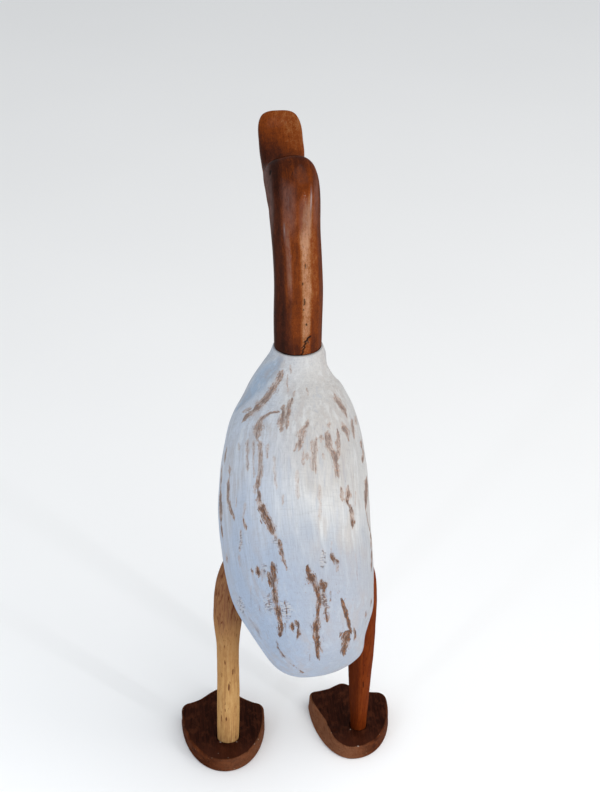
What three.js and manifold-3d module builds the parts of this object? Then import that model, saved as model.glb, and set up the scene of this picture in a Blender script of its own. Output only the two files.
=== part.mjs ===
// Wooden goose figurine: a painted bulb of a body, a neck and head in one bent piece,
// two stick legs and two flat webbed feet. Sizes are millimetres and +Z is up.
// The goose looks along -Y, and its own left side is +X.

import * as THREE from 'three';
import { mergeVertices } from 'three/addons/utils/BufferGeometryUtils.js';
import Module from 'manifold-3d';

const wasm = await Module();
wasm.setup();

// Gap between pieces that touch
const GAP = 0.3;

// Body: its axis climbs from the tail and turns upright under the neck
const BODY_SIDES = 36;
const BODY_RINGS = 34;
const TAIL_END = new THREE.Vector3( - 18.2, 85.9, 147.3 );
const TAIL_RISE = THREE.MathUtils.degToRad( 38.5 );
const TAIL_LEAD = 82;
const TAIL_SWING = 30.4;
const NECK_SEAT = new THREE.Vector3( - 9.5, - 68, 339.3 );
const NECK_SEAT_LEAD = 59;
const NECK_SEAT_RADIUS = 19.2;
const TAIL_ROUNDING = 0.13;
const TAIL_SQUARENESS = 2.8;
const TAIL_SKEW = 0.1;
const TAIL_SKEW_REACH = 0.25;
const BODY_PROFILE = [
	{ at: 0, half: 40 },
	{ at: 0.08, half: 37.5 },
	{ at: 0.2, half: 50.8 },
	{ at: 0.36, half: 56.9 },
	{ at: 0.54, half: 56.9 },
	{ at: 0.7, half: 50 },
	{ at: 0.83, half: 36.7 },
	{ at: 0.89, half: 29.2 },
	{ at: 0.95, half: 22.8 },
	{ at: 1, half: NECK_SEAT_RADIUS },
];

// Neck and head: sections that stand level in the neck and turn upright in the bill.
// back and front are the ends of a section, as distance forward of the neck and height.
const HEAD_SIDES = 28;
const HEAD_RINGS = 46;
const NECK_RADIUS = 18.4;
const NECK_FOOT = NECK_SEAT.z + GAP;
const NECK_LEAN = 2.5;
const HEAD_SWAY = 5.4;
const HEAD_SWAY_FROM = - 5;
const HEAD_SWAY_TO = 34;
const CROWN_HEIGHT = 490.5;
const BILL_REACH = 84;
const BILL_HEIGHT = 498;
const BILL_HALF_WIDTH = 16.8;
const BILL_TIP_ROUNDING = 0.09;
const BILL_TIP_NARROWING = 0.58;
const HEAD_RINGS_CROWDING = 0.07;
const HEAD_SECTIONS = [
	{ at: 0, back: [ - NECK_RADIUS, NECK_FOOT ], front: [ NECK_RADIUS, NECK_FOOT ], half: NECK_RADIUS, square: 2 },
	{ at: 0.2, back: [ - 18.4, 385 ], front: [ 18.4, 385 ], half: 18.3, square: 2 },
	{ at: 0.38, back: [ - 18.6, 430 ], front: [ 18.4, 427 ], half: 18.2, square: 2 },
	{ at: 0.5, back: [ - 19.5, 460 ], front: [ 21, 440 ], half: 18.6, square: 2.1 },
	{ at: 0.58, back: [ - 14.5, 480 ], front: [ 25.5, 446 ], half: 18.9, square: 2.2 },
	{ at: 0.65, back: [ - 1, CROWN_HEIGHT ], front: [ 31, 450.5 ], half: 18.8, square: 2.2 },
	{ at: 0.71, back: [ 13, 488 ], front: [ 37.5, 454.5 ], half: 17.4, square: 2.3 },
	{ at: 0.78, back: [ 27, 480 ], front: [ 45, 459 ], half: 16.4, square: 2.5 },
	{ at: 0.87, back: [ 50, 483.5 ], front: [ 59.5, 467 ], half: BILL_HALF_WIDTH, square: 2.7 },
	{ at: 1, back: [ BILL_REACH - 1, BILL_HEIGHT ], front: [ BILL_REACH, 487 ], half: 15.8, square: 2.8 },
];

// Legs: sticks that swell above the shin and lean in to meet the side of the body
const LEG_SIDES = 18;
const LEG_RINGS = 16;
const SHIN_TOP = 112;
const KNEE_HEIGHT = 145;
const KNEE_SWELL_FROM = 137;
const THIGH_HEIGHT = 169;
const THIGH_INSET = 3;
const THIGH_FORWARD = 3;
const HIP_HEIGHT = 186;
const HIP_INSET = 14;
const HIP_FORWARD = 5;
const LEG_END_HEIGHT = 194;
const LEG_END_INSET = 28;
const LEG_END_FORWARD = 6;
const LEG_SWELL_TO = 196;
const LEG_FULLNESS = 0.3;
const LEGS = [
	{ name: 'left_leg', side: 1, ankle: [ 53.4, - 11.5 ], kneeInset: 2.6, kneeBack: 7,
		ankleRadius: 8.4, shinRadius: 8.6, kneeRadius: 11.3 },
	{ name: 'right_leg', side: - 1, ankle: [ - 54.2, - 15.4 ], kneeInset: 0, kneeBack: 6.4,
		ankleRadius: 5.9, shinRadius: 9.4, kneeRadius: 11.8 },
];

// Feet: flat webbed plates with three toes, each with a shallow socket for its leg.
// Plan points are [ toward +X, forward ] from the ankle, and pairs run from -X to +X.
const FOOT_THICKNESS = 12;
const FOOT_BEVEL = 1.2;
const SOCKET_DEPTH = 4;
const SOCKET_SIDES = 18;
const SOCKET_PLAY = 0.9;
const TOE_CORNERS = [ 2, 1.5 ];
const FEET = [
	{
		name: 'left_foot', leg: 0, heel: [ 2.4, - 29.6 ], heelSweep: [ - 21, 21 ],
		sides: [ [ - 32.6, 31 ], [ 37.4, 34 ] ], sideSweep: [ - 1, - 1 ],
		toes: [ [ 29.4, 44.8 ], [ 20.9, 47.6 ], [ 2.4, 61 ], [ - 17.6, 44.6 ], [ - 25.6, 40.2 ] ],
		lean: 0,
	},
	{
		name: 'right_foot', leg: 1, heel: [ 6, - 27.4 ], heelSweep: [ - 19, 16 ],
		sides: [ [ - 27.5, 30.6 ], [ 36.4, 38.6 ] ], sideSweep: [ - 3.4, 3.6 ],
		toes: [ [ 32, 46.9 ], [ 20, 49 ], [ 6.5, 55.6 ], [ - 9, 44 ], [ - 21, 41 ] ],
		lean: 7.5,
	},
];

// How far along the foot its leaning inner side is cut back, and over what length
const LEAN_CENTRE = 5.6;
const LEAN_LENGTH = 24;

// Value of one measure between its stations, eased like a spline through them
function between( stations, read, at ) {

	const last = stations.length - 1;
	let k = 0;
	while ( k < last - 1 && at > stations[ k + 1 ].at ) k ++;
	const slope = ( i ) => {

		const a = stations[ Math.max( i - 1, 0 ) ];
		const b = stations[ Math.min( i + 1, last ) ];
		return ( read( b ) - read( a ) ) / ( b.at - a.at );

	};

	const span = stations[ k + 1 ].at - stations[ k ].at;
	const t = ( at - stations[ k ].at ) / span;
	return read( stations[ k ] ) * ( 2 * t ** 3 - 3 * t ** 2 + 1 )
		+ slope( k ) * span * ( t ** 3 - 2 * t ** 2 + t )
		+ read( stations[ k + 1 ] ) * ( 3 * t ** 2 - 2 * t ** 3 )
		+ slope( k + 1 ) * span * ( t ** 3 - t ** 2 );

}

// Closed unit tube along +Y with flat ends, whose rings lie where spread puts them
function unitTube( sides, rings, spread = ( t ) => t ) {

	const profile = [ new THREE.Vector2( 0, 0 ) ];
	for ( let i = 0; i <= rings; i ++ ) profile.push( new THREE.Vector2( 1, spread( i / rings ) ) );
	profile.push( new THREE.Vector2( 0, 1 ) );
	return new THREE.LatheGeometry( profile, sides );

}

// Moves each point of a tube to place( along, across, up ), and closes its seams
function shaped( geometry, place ) {

	const position = geometry.attributes.position;
	const point = new THREE.Vector3();
	for ( let i = 0; i < position.count; i ++ ) {

		point.fromBufferAttribute( position, i );
		place( point, point.y, point.x, point.z );
		position.setXYZ( i, point.x, point.y, point.z );

	}

	return welded( geometry );

}

// Same surface with shared points and its faces looking outward
function welded( geometry ) {

	geometry.deleteAttribute( 'normal' );
	geometry.deleteAttribute( 'uv' );
	const merged = mergeVertices( geometry, 1e-4 );
	const index = merged.index.array;
	const corner = [ new THREE.Vector3(), new THREE.Vector3(), new THREE.Vector3() ];
	const kept = [];
	let volume = 0;
	for ( let i = 0; i < index.length; i += 3 ) {

		const face = [ index[ i ], index[ i + 1 ], index[ i + 2 ] ];
		if ( face[ 0 ] === face[ 1 ] || face[ 1 ] === face[ 2 ] || face[ 2 ] === face[ 0 ] ) continue;
		face.forEach( ( v, k ) => corner[ k ].fromBufferAttribute( merged.attributes.position, v ) );
		volume += corner[ 0 ].dot( corner[ 1 ].clone().cross( corner[ 2 ] ) );
		kept.push( face );

	}

	merged.setIndex( kept.flatMap( ( face ) => ( volume < 0 ? face.reverse() : face ) ) );
	return merged;

}

function solid( geometry ) {

	return new wasm.Manifold( new wasm.Mesh( {
		numProp: 3,
		vertProperties: new Float32Array( geometry.attributes.position.array ),
		triVerts: new Uint32Array( geometry.index.array ),
	} ) );

}

function surface( body ) {

	const mesh = body.getMesh();
	const geometry = new THREE.BufferGeometry();
	geometry.setAttribute( 'position', new THREE.BufferAttribute( mesh.vertProperties, 3 ) );
	geometry.setIndex( new THREE.BufferAttribute( mesh.triVerts, 1 ) );
	return geometry;

}

// Body, or a slightly larger one that is only used to cut the legs
function bodyGeometry( grown = 0 ) {

	const lead = new THREE.Vector3(
		TAIL_SWING,
		- TAIL_LEAD * Math.cos( TAIL_RISE ),
		TAIL_LEAD * Math.sin( TAIL_RISE ) );
	const axis = new THREE.CubicBezierCurve3(
		TAIL_END,
		TAIL_END.clone().add( lead ),
		NECK_SEAT.clone().setZ( NECK_SEAT.z - NECK_SEAT_LEAD ),
		NECK_SEAT );
	const centre = new THREE.Vector3();
	const ahead = new THREE.Vector3();
	const side = new THREE.Vector3();
	const over = new THREE.Vector3();
	const spread = ( t ) => t ** 1.5 * ( 1 - t ) + t * t;
	return shaped( unitTube( BODY_SIDES, BODY_RINGS, spread ), ( point, along, across, up ) => {

		axis.getPoint( along, centre );
		axis.getTangent( along, ahead );
		side.set( 1, 0, 0 ).addScaledVector( ahead, - ahead.x ).normalize();
		over.crossVectors( side, ahead );
		const nearTail = Math.max( 1 - along / TAIL_ROUNDING, 0 );
		const rounding = Math.sqrt( 1 - nearTail ** TAIL_SQUARENESS );
		const half = between( BODY_PROFILE, ( s ) => s.half, along ) * rounding + grown;
		const skew = TAIL_SKEW * Math.exp( - ( ( along / TAIL_SKEW_REACH ) ** 2 ) );
		point.copy( centre )
			.addScaledVector( side, across * half )
			.addScaledVector( over, up * half )
			.addScaledVector( ahead, across * half * skew );

	} );

}

function neckAndHeadGeometry() {

	const spread = ( t ) => t - HEAD_RINGS_CROWDING * Math.sin( 2 * Math.PI * t ) * t;
	return shaped( unitTube( HEAD_SIDES, HEAD_RINGS, spread ), ( point, along, across, up ) => {

		const read = ( pick ) => between( HEAD_SECTIONS, pick, along );
		const backReach = read( ( s ) => s.back[ 0 ] );
		const backHeight = read( ( s ) => s.back[ 1 ] );
		const frontReach = read( ( s ) => s.front[ 0 ] );
		const frontHeight = read( ( s ) => s.front[ 1 ] );
		const power = 2 / read( ( s ) => s.square );
		const nearTip = Math.max( 1 - ( 1 - along ) / BILL_TIP_ROUNDING, 0 );
		const half = read( ( s ) => s.half ) * Math.sqrt( 1 - BILL_TIP_NARROWING * nearTip ** 4 );
		const wide = Math.sign( across ) * Math.abs( across ) ** power;
		const deep = Math.sign( up ) * Math.abs( up ) ** power;
		const mix = ( 1 - deep ) / 2;
		const reach = backReach + ( frontReach - backReach ) * mix;
		const height = backHeight + ( frontHeight - backHeight ) * mix;
		const climb = ( height - NECK_FOOT ) / ( BILL_HEIGHT - NECK_FOOT );
		const sway = HEAD_SWAY * THREE.MathUtils.smoothstep( reach, HEAD_SWAY_FROM, HEAD_SWAY_TO )
			* THREE.MathUtils.smoothstep( along, 0.3, 0.6 );
		const lean = NECK_LEAN * Math.max( climb, 0 ) ** 2;
		point.set( NECK_SEAT.x + lean + sway + wide * half, NECK_SEAT.y - reach, height );

	} );

}

function legGeometry( leg, bodyCutter ) {

	const [ x, y ] = leg.ankle;
	const foot = FOOT_THICKNESS - SOCKET_DEPTH + GAP;
	const knee = y + leg.kneeBack;
	const axis = new THREE.CatmullRomCurve3( [
		new THREE.Vector3( x, y, foot ),
		new THREE.Vector3( x - leg.side * leg.kneeInset * 0.4, ( y + knee ) / 2, ( foot + SHIN_TOP ) / 2 ),
		new THREE.Vector3( x - leg.side * leg.kneeInset * 0.6, knee, SHIN_TOP ),
		new THREE.Vector3( x - leg.side * leg.kneeInset, knee - 1, KNEE_HEIGHT ),
		new THREE.Vector3( x - leg.side * ( leg.kneeInset + THIGH_INSET ), knee - THIGH_FORWARD, THIGH_HEIGHT ),
		new THREE.Vector3( x - leg.side * HIP_INSET, knee - HIP_FORWARD, HIP_HEIGHT ),
		new THREE.Vector3( x - leg.side * LEG_END_INSET, knee - LEG_END_FORWARD, LEG_END_HEIGHT ),
	] );
	const radii = [
		{ at: foot, radius: leg.ankleRadius },
		{ at: SHIN_TOP / 2, radius: ( leg.ankleRadius + leg.shinRadius ) / 2 + LEG_FULLNESS },
		{ at: SHIN_TOP, radius: leg.shinRadius },
		{ at: KNEE_SWELL_FROM, radius: leg.kneeRadius },
		{ at: LEG_SWELL_TO, radius: leg.kneeRadius },
	];
	const centre = new THREE.Vector3();
	const ahead = new THREE.Vector3();
	const side = new THREE.Vector3();
	const over = new THREE.Vector3();
	const stick = shaped( unitTube( LEG_SIDES, LEG_RINGS ), ( point, along, across, up ) => {

		axis.getPointAt( along, centre );
		axis.getTangentAt( along, ahead );
		if ( along === 0 ) ahead.set( 0, 0, 1 );
		over.set( 0, 1, 0 ).addScaledVector( ahead, - ahead.y ).normalize();
		side.crossVectors( over, ahead );
		const radius = between( radii, ( s ) => s.radius, Math.min( centre.z, LEG_SWELL_TO ) );
		point.copy( centre ).addScaledVector( side, across * radius ).addScaledVector( over, up * radius );

	} );
	return surface( solid( stick ).subtract( bodyCutter ) );

}

function footShape( foot ) {

	const [ heelX, heelY ] = foot.heel;
	const [ sweepRight, sweepLeft ] = foot.heelSweep;
	const [ right, left ] = foot.sides;
	const toes = foot.toes.map( ( toe ) => new THREE.Vector2( ...toe ) );
	const first = toes[ 0 ];
	const last = toes[ toes.length - 1 ];
	const shape = new THREE.Shape();
	shape.moveTo( heelX, heelY );
	shape.bezierCurveTo( heelX + sweepLeft, heelY, left[ 0 ], foot.sideSweep[ 1 ], left[ 0 ], left[ 1 ] );
	shape.quadraticCurveTo( left[ 0 ], first.y - TOE_CORNERS[ 1 ], first.x, first.y );
	shape.splineThru( toes.slice( 1 ) );
	shape.quadraticCurveTo( right[ 0 ], last.y - TOE_CORNERS[ 0 ], right[ 0 ], right[ 1 ] );
	shape.bezierCurveTo( right[ 0 ], foot.sideSweep[ 0 ], heelX + sweepRight, heelY, heelX, heelY );
	return shape;

}

// Cuts the upper part of the inner side back, so that this side slopes
function leanInnerSide( plate, foot ) {

	const position = plate.attributes.position;
	const reach = foot.sides[ 1 ][ 0 ];
	for ( let i = 0; i < position.count; i ++ ) {

		const x = position.getX( i );
		const along = ( position.getY( i ) - LEAN_CENTRE ) / LEAN_LENGTH;
		const share = THREE.MathUtils.clamp( x / reach, 0, 1 ) * Math.exp( - along * along );
		const rise = ( position.getZ( i ) + FOOT_BEVEL ) / FOOT_THICKNESS;
		position.setX( i, x - foot.lean * share * rise );

	}

}

function footGeometry( foot ) {

	const leg = LEGS[ foot.leg ];
	const plate = new THREE.ExtrudeGeometry( footShape( foot ), {
		depth: FOOT_THICKNESS - 2 * FOOT_BEVEL,
		bevelEnabled: true,
		bevelThickness: FOOT_BEVEL,
		bevelSize: FOOT_BEVEL,
		bevelOffset: - FOOT_BEVEL,
		bevelSegments: 1,
		curveSegments: 9,
	} );
	leanInnerSide( plate, foot );
	plate.scale( 1, - 1, 1 );
	plate.translate( leg.ankle[ 0 ], leg.ankle[ 1 ], FOOT_BEVEL );
	const socketRadius = leg.ankleRadius + SOCKET_PLAY;
	const socket = new THREE.CylinderGeometry( socketRadius, socketRadius, 2 * SOCKET_DEPTH, SOCKET_SIDES );
	socket.rotateX( Math.PI / 2 );
	socket.translate( leg.ankle[ 0 ], leg.ankle[ 1 ], FOOT_THICKNESS );
	return surface( solid( welded( plate ) ).subtract( solid( welded( socket ) ) ) );

}

function piece( name, geometry, color, roughness ) {

	const material = new THREE.MeshStandardMaterial( { color, roughness, metalness: 0 } );
	const mesh = new THREE.Mesh( geometry, material );
	mesh.name = name;
	return mesh;

}

const goose = new THREE.Group();
const bodyCutter = solid( bodyGeometry( GAP ) );
goose.add( piece( 'body', bodyGeometry(), 0xc4c6c8, 0.6 ) );
goose.add( piece( 'neck_and_head', neckAndHeadGeometry(), 0x5a2415, 0.3 ) );
const LEG_COLOURS = [ 0xbd9058, 0x6f371c ];
LEGS.forEach( ( leg, i ) => {

	goose.add( piece( leg.name, legGeometry( leg, bodyCutter ), LEG_COLOURS[ i ], 0.5 ) );

} );
for ( const foot of FEET ) goose.add( piece( foot.name, footGeometry( foot ), 0x3a1a12, 0.35 ) );

// The origin is the middle of the outline, on the floor
const box = new THREE.Box3().setFromObject( goose );
goose.position.set( - ( box.min.x + box.max.x ) / 2, - ( box.min.y + box.max.y ) / 2, - box.min.z );

export default goose;
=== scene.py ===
"""Wooden goose figurine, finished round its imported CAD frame: a body in worn chalk paint, a
varnished neck and head, two stick legs and two webbed feet. Shapes are worked out in
millimetres, with the goose looking along -Y and its own left side toward +X."""

import math
from functools import partial

import bpy
import numpy as np
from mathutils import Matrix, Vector


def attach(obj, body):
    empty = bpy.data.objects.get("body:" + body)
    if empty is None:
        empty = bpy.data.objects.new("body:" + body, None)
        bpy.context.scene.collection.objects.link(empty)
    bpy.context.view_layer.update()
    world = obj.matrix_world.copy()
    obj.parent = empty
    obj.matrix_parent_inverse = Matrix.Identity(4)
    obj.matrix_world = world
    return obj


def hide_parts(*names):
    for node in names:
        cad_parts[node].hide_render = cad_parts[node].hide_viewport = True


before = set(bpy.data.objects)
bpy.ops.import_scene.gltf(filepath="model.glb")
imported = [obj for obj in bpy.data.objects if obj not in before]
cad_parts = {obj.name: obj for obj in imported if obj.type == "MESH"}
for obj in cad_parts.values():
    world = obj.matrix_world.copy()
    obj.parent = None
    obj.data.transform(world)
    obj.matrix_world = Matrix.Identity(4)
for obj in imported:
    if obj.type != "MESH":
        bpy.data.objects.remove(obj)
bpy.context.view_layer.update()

MM = 0.001
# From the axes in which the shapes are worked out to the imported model's origin
HOME = np.array([-4.55, 26.996, 0.0])

# Camera: behind the goose, above it and a little to its left
CAMERA_PLACE = (0.08765, 1.13820, 0.94760)
CAMERA_HEADING = 175.0
CAMERA_DIP = 28.85
CAMERA_LENS = 79.55

camera_data = bpy.data.cameras.new("camera")
camera_data.lens = CAMERA_LENS
camera = bpy.data.objects.new("camera", camera_data)
camera.location = CAMERA_PLACE
camera.rotation_euler = (math.radians(90 - CAMERA_DIP), 0, math.radians(CAMERA_HEADING))
bpy.context.scene.collection.objects.link(camera)
bpy.context.scene.camera = camera

# The photograph's frame in pixels
PHOTO_WIDTH, PHOTO_HEIGHT = 600, 792


def in_photograph(points):
    """Pixels across and down at which the photograph shows points in mm, and the way they are seen."""
    heading, dip = math.radians(CAMERA_HEADING), math.radians(CAMERA_DIP)
    level = math.cos(dip)
    look = np.array([-math.sin(heading) * level, math.cos(heading) * level, -math.sin(dip)])
    right = np.array([math.cos(heading), math.sin(heading), 0])
    sight = (points + HOME) * MM - np.array(CAMERA_PLACE)
    pixels = CAMERA_LENS / camera_data.sensor_width * PHOTO_HEIGHT / (sight @ look)
    across = PHOTO_WIDTH / 2 + pixels * (sight @ right)
    down = PHOTO_HEIGHT / 2 - pixels * (sight @ np.cross(right, look))
    return across, down, sight


# Sums used by the shapes


def hermite(t, start, start_slope, end, end_slope):
    """Cubic curve from start to end, with the given slopes at its ends."""
    return (
        start * (2 * t**3 - 3 * t**2 + 1)
        + start_slope * (t**3 - 2 * t**2 + t)
        + end * (3 * t**2 - 2 * t**3)
        + end_slope * (t**3 - t**2)
    )


def between(at, values, x):
    """Value of a measure between its stations, eased like a spline through them."""
    at = np.asarray(at, float)
    values = np.asarray(values, float)
    x = np.asarray(x, float)
    last = len(at) - 1
    low = np.clip(np.arange(last + 1) - 1, 0, last)
    high = np.clip(np.arange(last + 1) + 1, 0, last)
    slope = (values[high] - values[low]) / (at[high] - at[low])
    k = np.clip(np.searchsorted(at, x, side="left") - 1, 0, last - 1)
    span = at[k + 1] - at[k]
    return hermite((x - at[k]) / span, values[k], slope[k] * span, values[k + 1], slope[k + 1] * span)


def smoothstep(low, high, x):
    t = np.clip((np.asarray(x, float) - low) / (high - low), 0, 1)
    return t * t * (3 - 2 * t)


def unit(v):
    return v / np.maximum(np.linalg.norm(v, axis=-1, keepdims=True), 1e-12)


def ripple(places, size, seed, waves=14):
    """Smooth uneven field over places, about -1 to 1, with bumps of the given size."""
    draw = np.random.default_rng(seed)
    total = np.zeros(len(places))
    for _ in range(waves):
        way = draw.normal(size=3)
        way *= draw.uniform(0.6, 1.5) / np.linalg.norm(way)
        total += np.sin(places @ way * (2 * math.pi / (2 * size)) + draw.uniform(0, 2 * math.pi))
    return total / math.sqrt(waves)


def softly_below(distance, softness):
    """Distance past a knife cut, brought back to it with a softened edge."""
    return -softness * np.logaddexp(0, -distance / softness)


def distance_gone(line):
    """Distance along a line of points, at each of them."""
    return np.concatenate([[0], np.cumsum(np.linalg.norm(np.diff(line, axis=0), axis=1))])


def evenly_spaced(line, count, closed=False):
    """Points at even distances along a line, which runs back to its start where it is closed."""
    if closed:
        line = np.vstack([line, line[:1]])
    run = distance_gone(line)
    at = np.linspace(0, run[-1], count, endpoint=not closed)
    return np.stack([np.interp(at, run, column) for column in line.T], -1)


# Shorthand for node trees


class Wiring:
    """Adds nodes to one tree and joins them."""

    def __init__(self, tree):
        self.tree = tree

    def link(self, value, socket):
        self.tree.links.new(value, socket)

    def node(self, kind, ins=None, **settings):
        made = self.tree.nodes.new(kind)
        for name, value in settings.items():
            setattr(made, name, value)
        for name, value in (ins or {}).items():
            socket = made.inputs[name]
            if isinstance(value, bpy.types.NodeSocket):
                self.link(value, socket)
            else:
                socket.default_value = value
        return made

    def math(self, operation, *values):
        made = self.node("ShaderNodeMath", dict(enumerate(values)), operation=operation)
        return made.outputs[0]

    def times(self, *values):
        return self.math("MULTIPLY", *values)

    def plus(self, *values):
        return self.math("ADD", *values)

    def minus(self, *values):
        return self.math("SUBTRACT", *values)

    def swing(self, pattern, amount):
        """How far a pattern is from its middle, times an amount."""
        return self.times(self.minus(pattern, 0.5), amount)

    def vector(self, operation, *values):
        ins = {}
        for i, value in enumerate(values):
            ins["Scale" if operation == "SCALE" and i == 1 else i] = value
        made = self.node("ShaderNodeVectorMath", ins, operation=operation)
        return made.outputs["Value" if operation in ("DOT_PRODUCT", "LENGTH") else "Vector"]

    def combined(self, **parts):
        return self.node("ShaderNodeCombineXYZ", parts).outputs[0]

    def parts(self, vector):
        return self.node("ShaderNodeSeparateXYZ", {"Vector": vector}).outputs

    def level(self, value, low, high, to_low=0.0, to_high=1.0, smooth=True):
        made = self.node(
            "ShaderNodeMapRange",
            {"Value": value, "From Min": low, "From Max": high, "To Min": to_low, "To Max": to_high},
            interpolation_type="SMOOTHSTEP" if smooth else "LINEAR",
        )
        return made.outputs["Result"]

    def noise(self, place, sizes, detail=3.0, rough=0.55, shift=0.0, warp=0.0):
        """Noise with spots of the given sizes in metres: across, across and along."""
        move = (shift, shift * 0.37, shift * 0.71)
        scale = tuple(1 / size for size in sizes)
        stretched = self.node("ShaderNodeMapping", {"Vector": place, "Location": move, "Scale": scale})
        ins = {"Scale": 1.0, "Detail": detail, "Roughness": rough, "Distortion": warp}
        made = self.node("ShaderNodeTexNoise", {"Vector": stretched.outputs[0], **ins})
        return made.outputs["Fac"]

    def blend(self, share, low, high):
        made = self.node("ShaderNodeMix", data_type="RGBA", blend_type="MIX")
        for index, value in ((0, share), (6, low), (7, high)):
            if isinstance(value, bpy.types.NodeSocket):
                self.link(value, made.inputs[index])
            else:
                made.inputs[index].default_value = value if index == 0 else (*value, 1.0)
        return made.outputs[2]

    def layer(self, under, pattern, begins, full, most, colour):
        """Colour laid over what is under it, from where a pattern begins to where it is full."""
        return self.blend(self.level(pattern, begins, full, 0.0, most), under, colour)

    def ramp(self, value, stops):
        made = self.node("ShaderNodeValToRGB", {"Fac": value})
        band = made.color_ramp
        band.elements[0].position, band.elements[0].color = stops[0][0], (*stops[0][1], 1)
        band.elements[1].position, band.elements[1].color = stops[-1][0], (*stops[-1][1], 1)
        for at, colour in stops[1:-1]:
            band.elements.new(at).color = (*colour, 1)
        return made.outputs["Color"]

    def own(self, name, output="Fac"):
        """A value of the piece's own, read by its finish."""
        return self.node("ShaderNodeAttribute", attribute_name=name).outputs[output]

    def named(self, name, kind="FLOAT"):
        """A value of the geometry's own, read in its tree."""
        made = self.node("GeometryNodeInputNamedAttribute", {"Name": name}, data_type=kind)
        return made.outputs["Attribute"]

    def store(self, geometry, name, value, kind="FLOAT"):
        """Geometry with a value kept on its points."""
        ins = {"Geometry": geometry, "Name": name, "Value": value}
        return self.node("GeometryNodeStoreNamedAttribute", ins, data_type=kind, domain="POINT").outputs[0]


# Making pieces


def new_piece(name, mesh):
    piece = bpy.data.objects.new(name, mesh)
    bpy.context.scene.collection.objects.link(piece)
    return piece


def plain_mesh(piece):
    """A piece's mesh with its modifiers applied."""
    graph = bpy.context.evaluated_depsgraph_get()
    done = piece.evaluated_get(graph)
    return bpy.data.meshes.new_from_object(done, preserve_all_data_layers=True, depsgraph=graph)


def turned_outward(mesh):
    """Flips a closed mesh whose faces look inward."""
    count = len(mesh.vertices)
    places = np.empty(count * 3, np.float32)
    mesh.vertices.foreach_get("co", places)
    places = places.reshape(-1, 3).astype(float)
    mesh.calc_loop_triangles()
    corners = np.empty(len(mesh.loop_triangles) * 3, np.int32)
    mesh.loop_triangles.foreach_get("vertices", corners)
    a, b, c = (places[corners.reshape(-1, 3)[:, i]] for i in range(3))
    if np.einsum("ij,ij->i", a, np.cross(b, c)).sum() < 0:
        mesh.flip_normals()
    return mesh


def add_values(mesh, values):
    """Keeps numbers or vectors on a mesh's points, each under its own name."""
    for name, field in values.items():
        kind, slot = ("FLOAT_VECTOR", "vector") if np.ndim(field) == 2 else ("FLOAT", "value")
        layer = mesh.attributes.new(name, kind, "POINT")
        layer.data.foreach_set(slot, np.asarray(field, np.float32).ravel())


def grid_mesh(name, rings, values):
    """Closed mesh from rings of points, with a pole at each end.

    rings has the shape (ring, side, 3) in millimetres, and its first and last rings are
    one point each. values holds a number or a vector for every point of rings."""
    count, sides = rings.shape[:2]
    inner = (rings[1:-1].reshape(-1, 3) + HOME) * MM
    ends = (rings[[0, -1], 0] + HOME) * MM
    points = np.vstack([inner, ends])
    start, end = len(inner), len(inner) + 1
    here = np.arange(sides)
    after = np.roll(here, -1)
    faces = []
    for ring in range(count - 3):
        low, high = ring * sides, (ring + 1) * sides
        faces.extend(np.stack([low + here, low + after, high + after, high + here], -1).tolist())
    top = (count - 3) * sides
    faces.extend(np.stack([np.full(sides, start), after, here], -1).tolist())
    faces.extend(np.stack([np.full(sides, end), top + here, top + after], -1).tolist())
    mesh = bpy.data.meshes.new(name)
    mesh.from_pydata(points.tolist(), [], faces)
    add_values(mesh, {
        key: np.concatenate([field[1:-1].reshape(-1, *field.shape[2:]), field[[0, -1], 0]])
        for key, field in values.items()
    })
    mesh.shade_smooth()
    mesh.validate()
    return turned_outward(mesh)


def lines_of_points(name, points, edges, values):
    """Points in millimetres joined by edges, with values for each."""
    mesh = bpy.data.meshes.new(name)
    mesh.from_pydata(((points + HOME) * MM).tolist(), edges, [])
    add_values(mesh, values)
    return new_piece(name, mesh)


# The swept wood tree

# Its named inputs, with what they are where a piece doesn't set them
SWEPT_WOOD_INPUTS = {
    "Sides": ("NodeSocketInt", 64),
    "Crowding": ("NodeSocketFloat", 0.0),
    "End skew": ("NodeSocketFloat", 0.0),
    "Skew reach": ("NodeSocketFloat", 0.25),
    "Lump size": ("NodeSocketFloat", 0.03),
    "Lump depth": ("NodeSocketFloat", 0.0),
    "Flat width": ("NodeSocketFloat", 0.01),
    "Flat depth": ("NodeSocketFloat", 0.0),
    "Seed": ("NodeSocketFloat", 0.0),
    "Worn marks": ("NodeSocketObject", None),
    "Wear depth": ("NodeSocketFloat", 0.0),
    "Hollows": ("NodeSocketObject", None),
    "Finish": ("NodeSocketMaterial", None),
}
TOWARD_LEFT = (1.0, 0.0, 0.0)
# How the seed moves the unevenness, and the scale that draws the knife's flats out along the wood
SEED_MOVE = (1.0, 1.7, 0.6)
FLAT_STRETCH = (1.0, 1.0, 0.16)
# Shares of the way into a streak over which it sinks, and into a hollow over which its painted bluish shade
# comes
SINKS_FROM, SINKS_TO = 0.45, 0.85
CUT_SHADE_FULL = 0.7
SAME_POINT = 2e-6
LEAST_WIDTH = 1e-6


def crowded_circle(w, given):
    """Round profile whose sides stand closer together over the back than under the belly."""
    ins = {"Resolution": given["Sides"], "Radius": 1.0}
    circle = w.node("GeometryNodeCurvePrimitiveCircle", ins).outputs[0]
    step = w.math("DIVIDE", 2 * math.pi, given["Sides"])
    even = w.times(w.node("GeometryNodeInputIndex").outputs[0], step)
    turned = w.plus(even, w.times(w.math("COSINE", even), given["Crowding"]))
    crowded = w.combined(X=w.math("COSINE", turned), Y=w.math("SINE", turned))
    return w.node("GeometryNodeSetPosition", {"Geometry": circle, "Position": crowded}).outputs[0]


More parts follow.
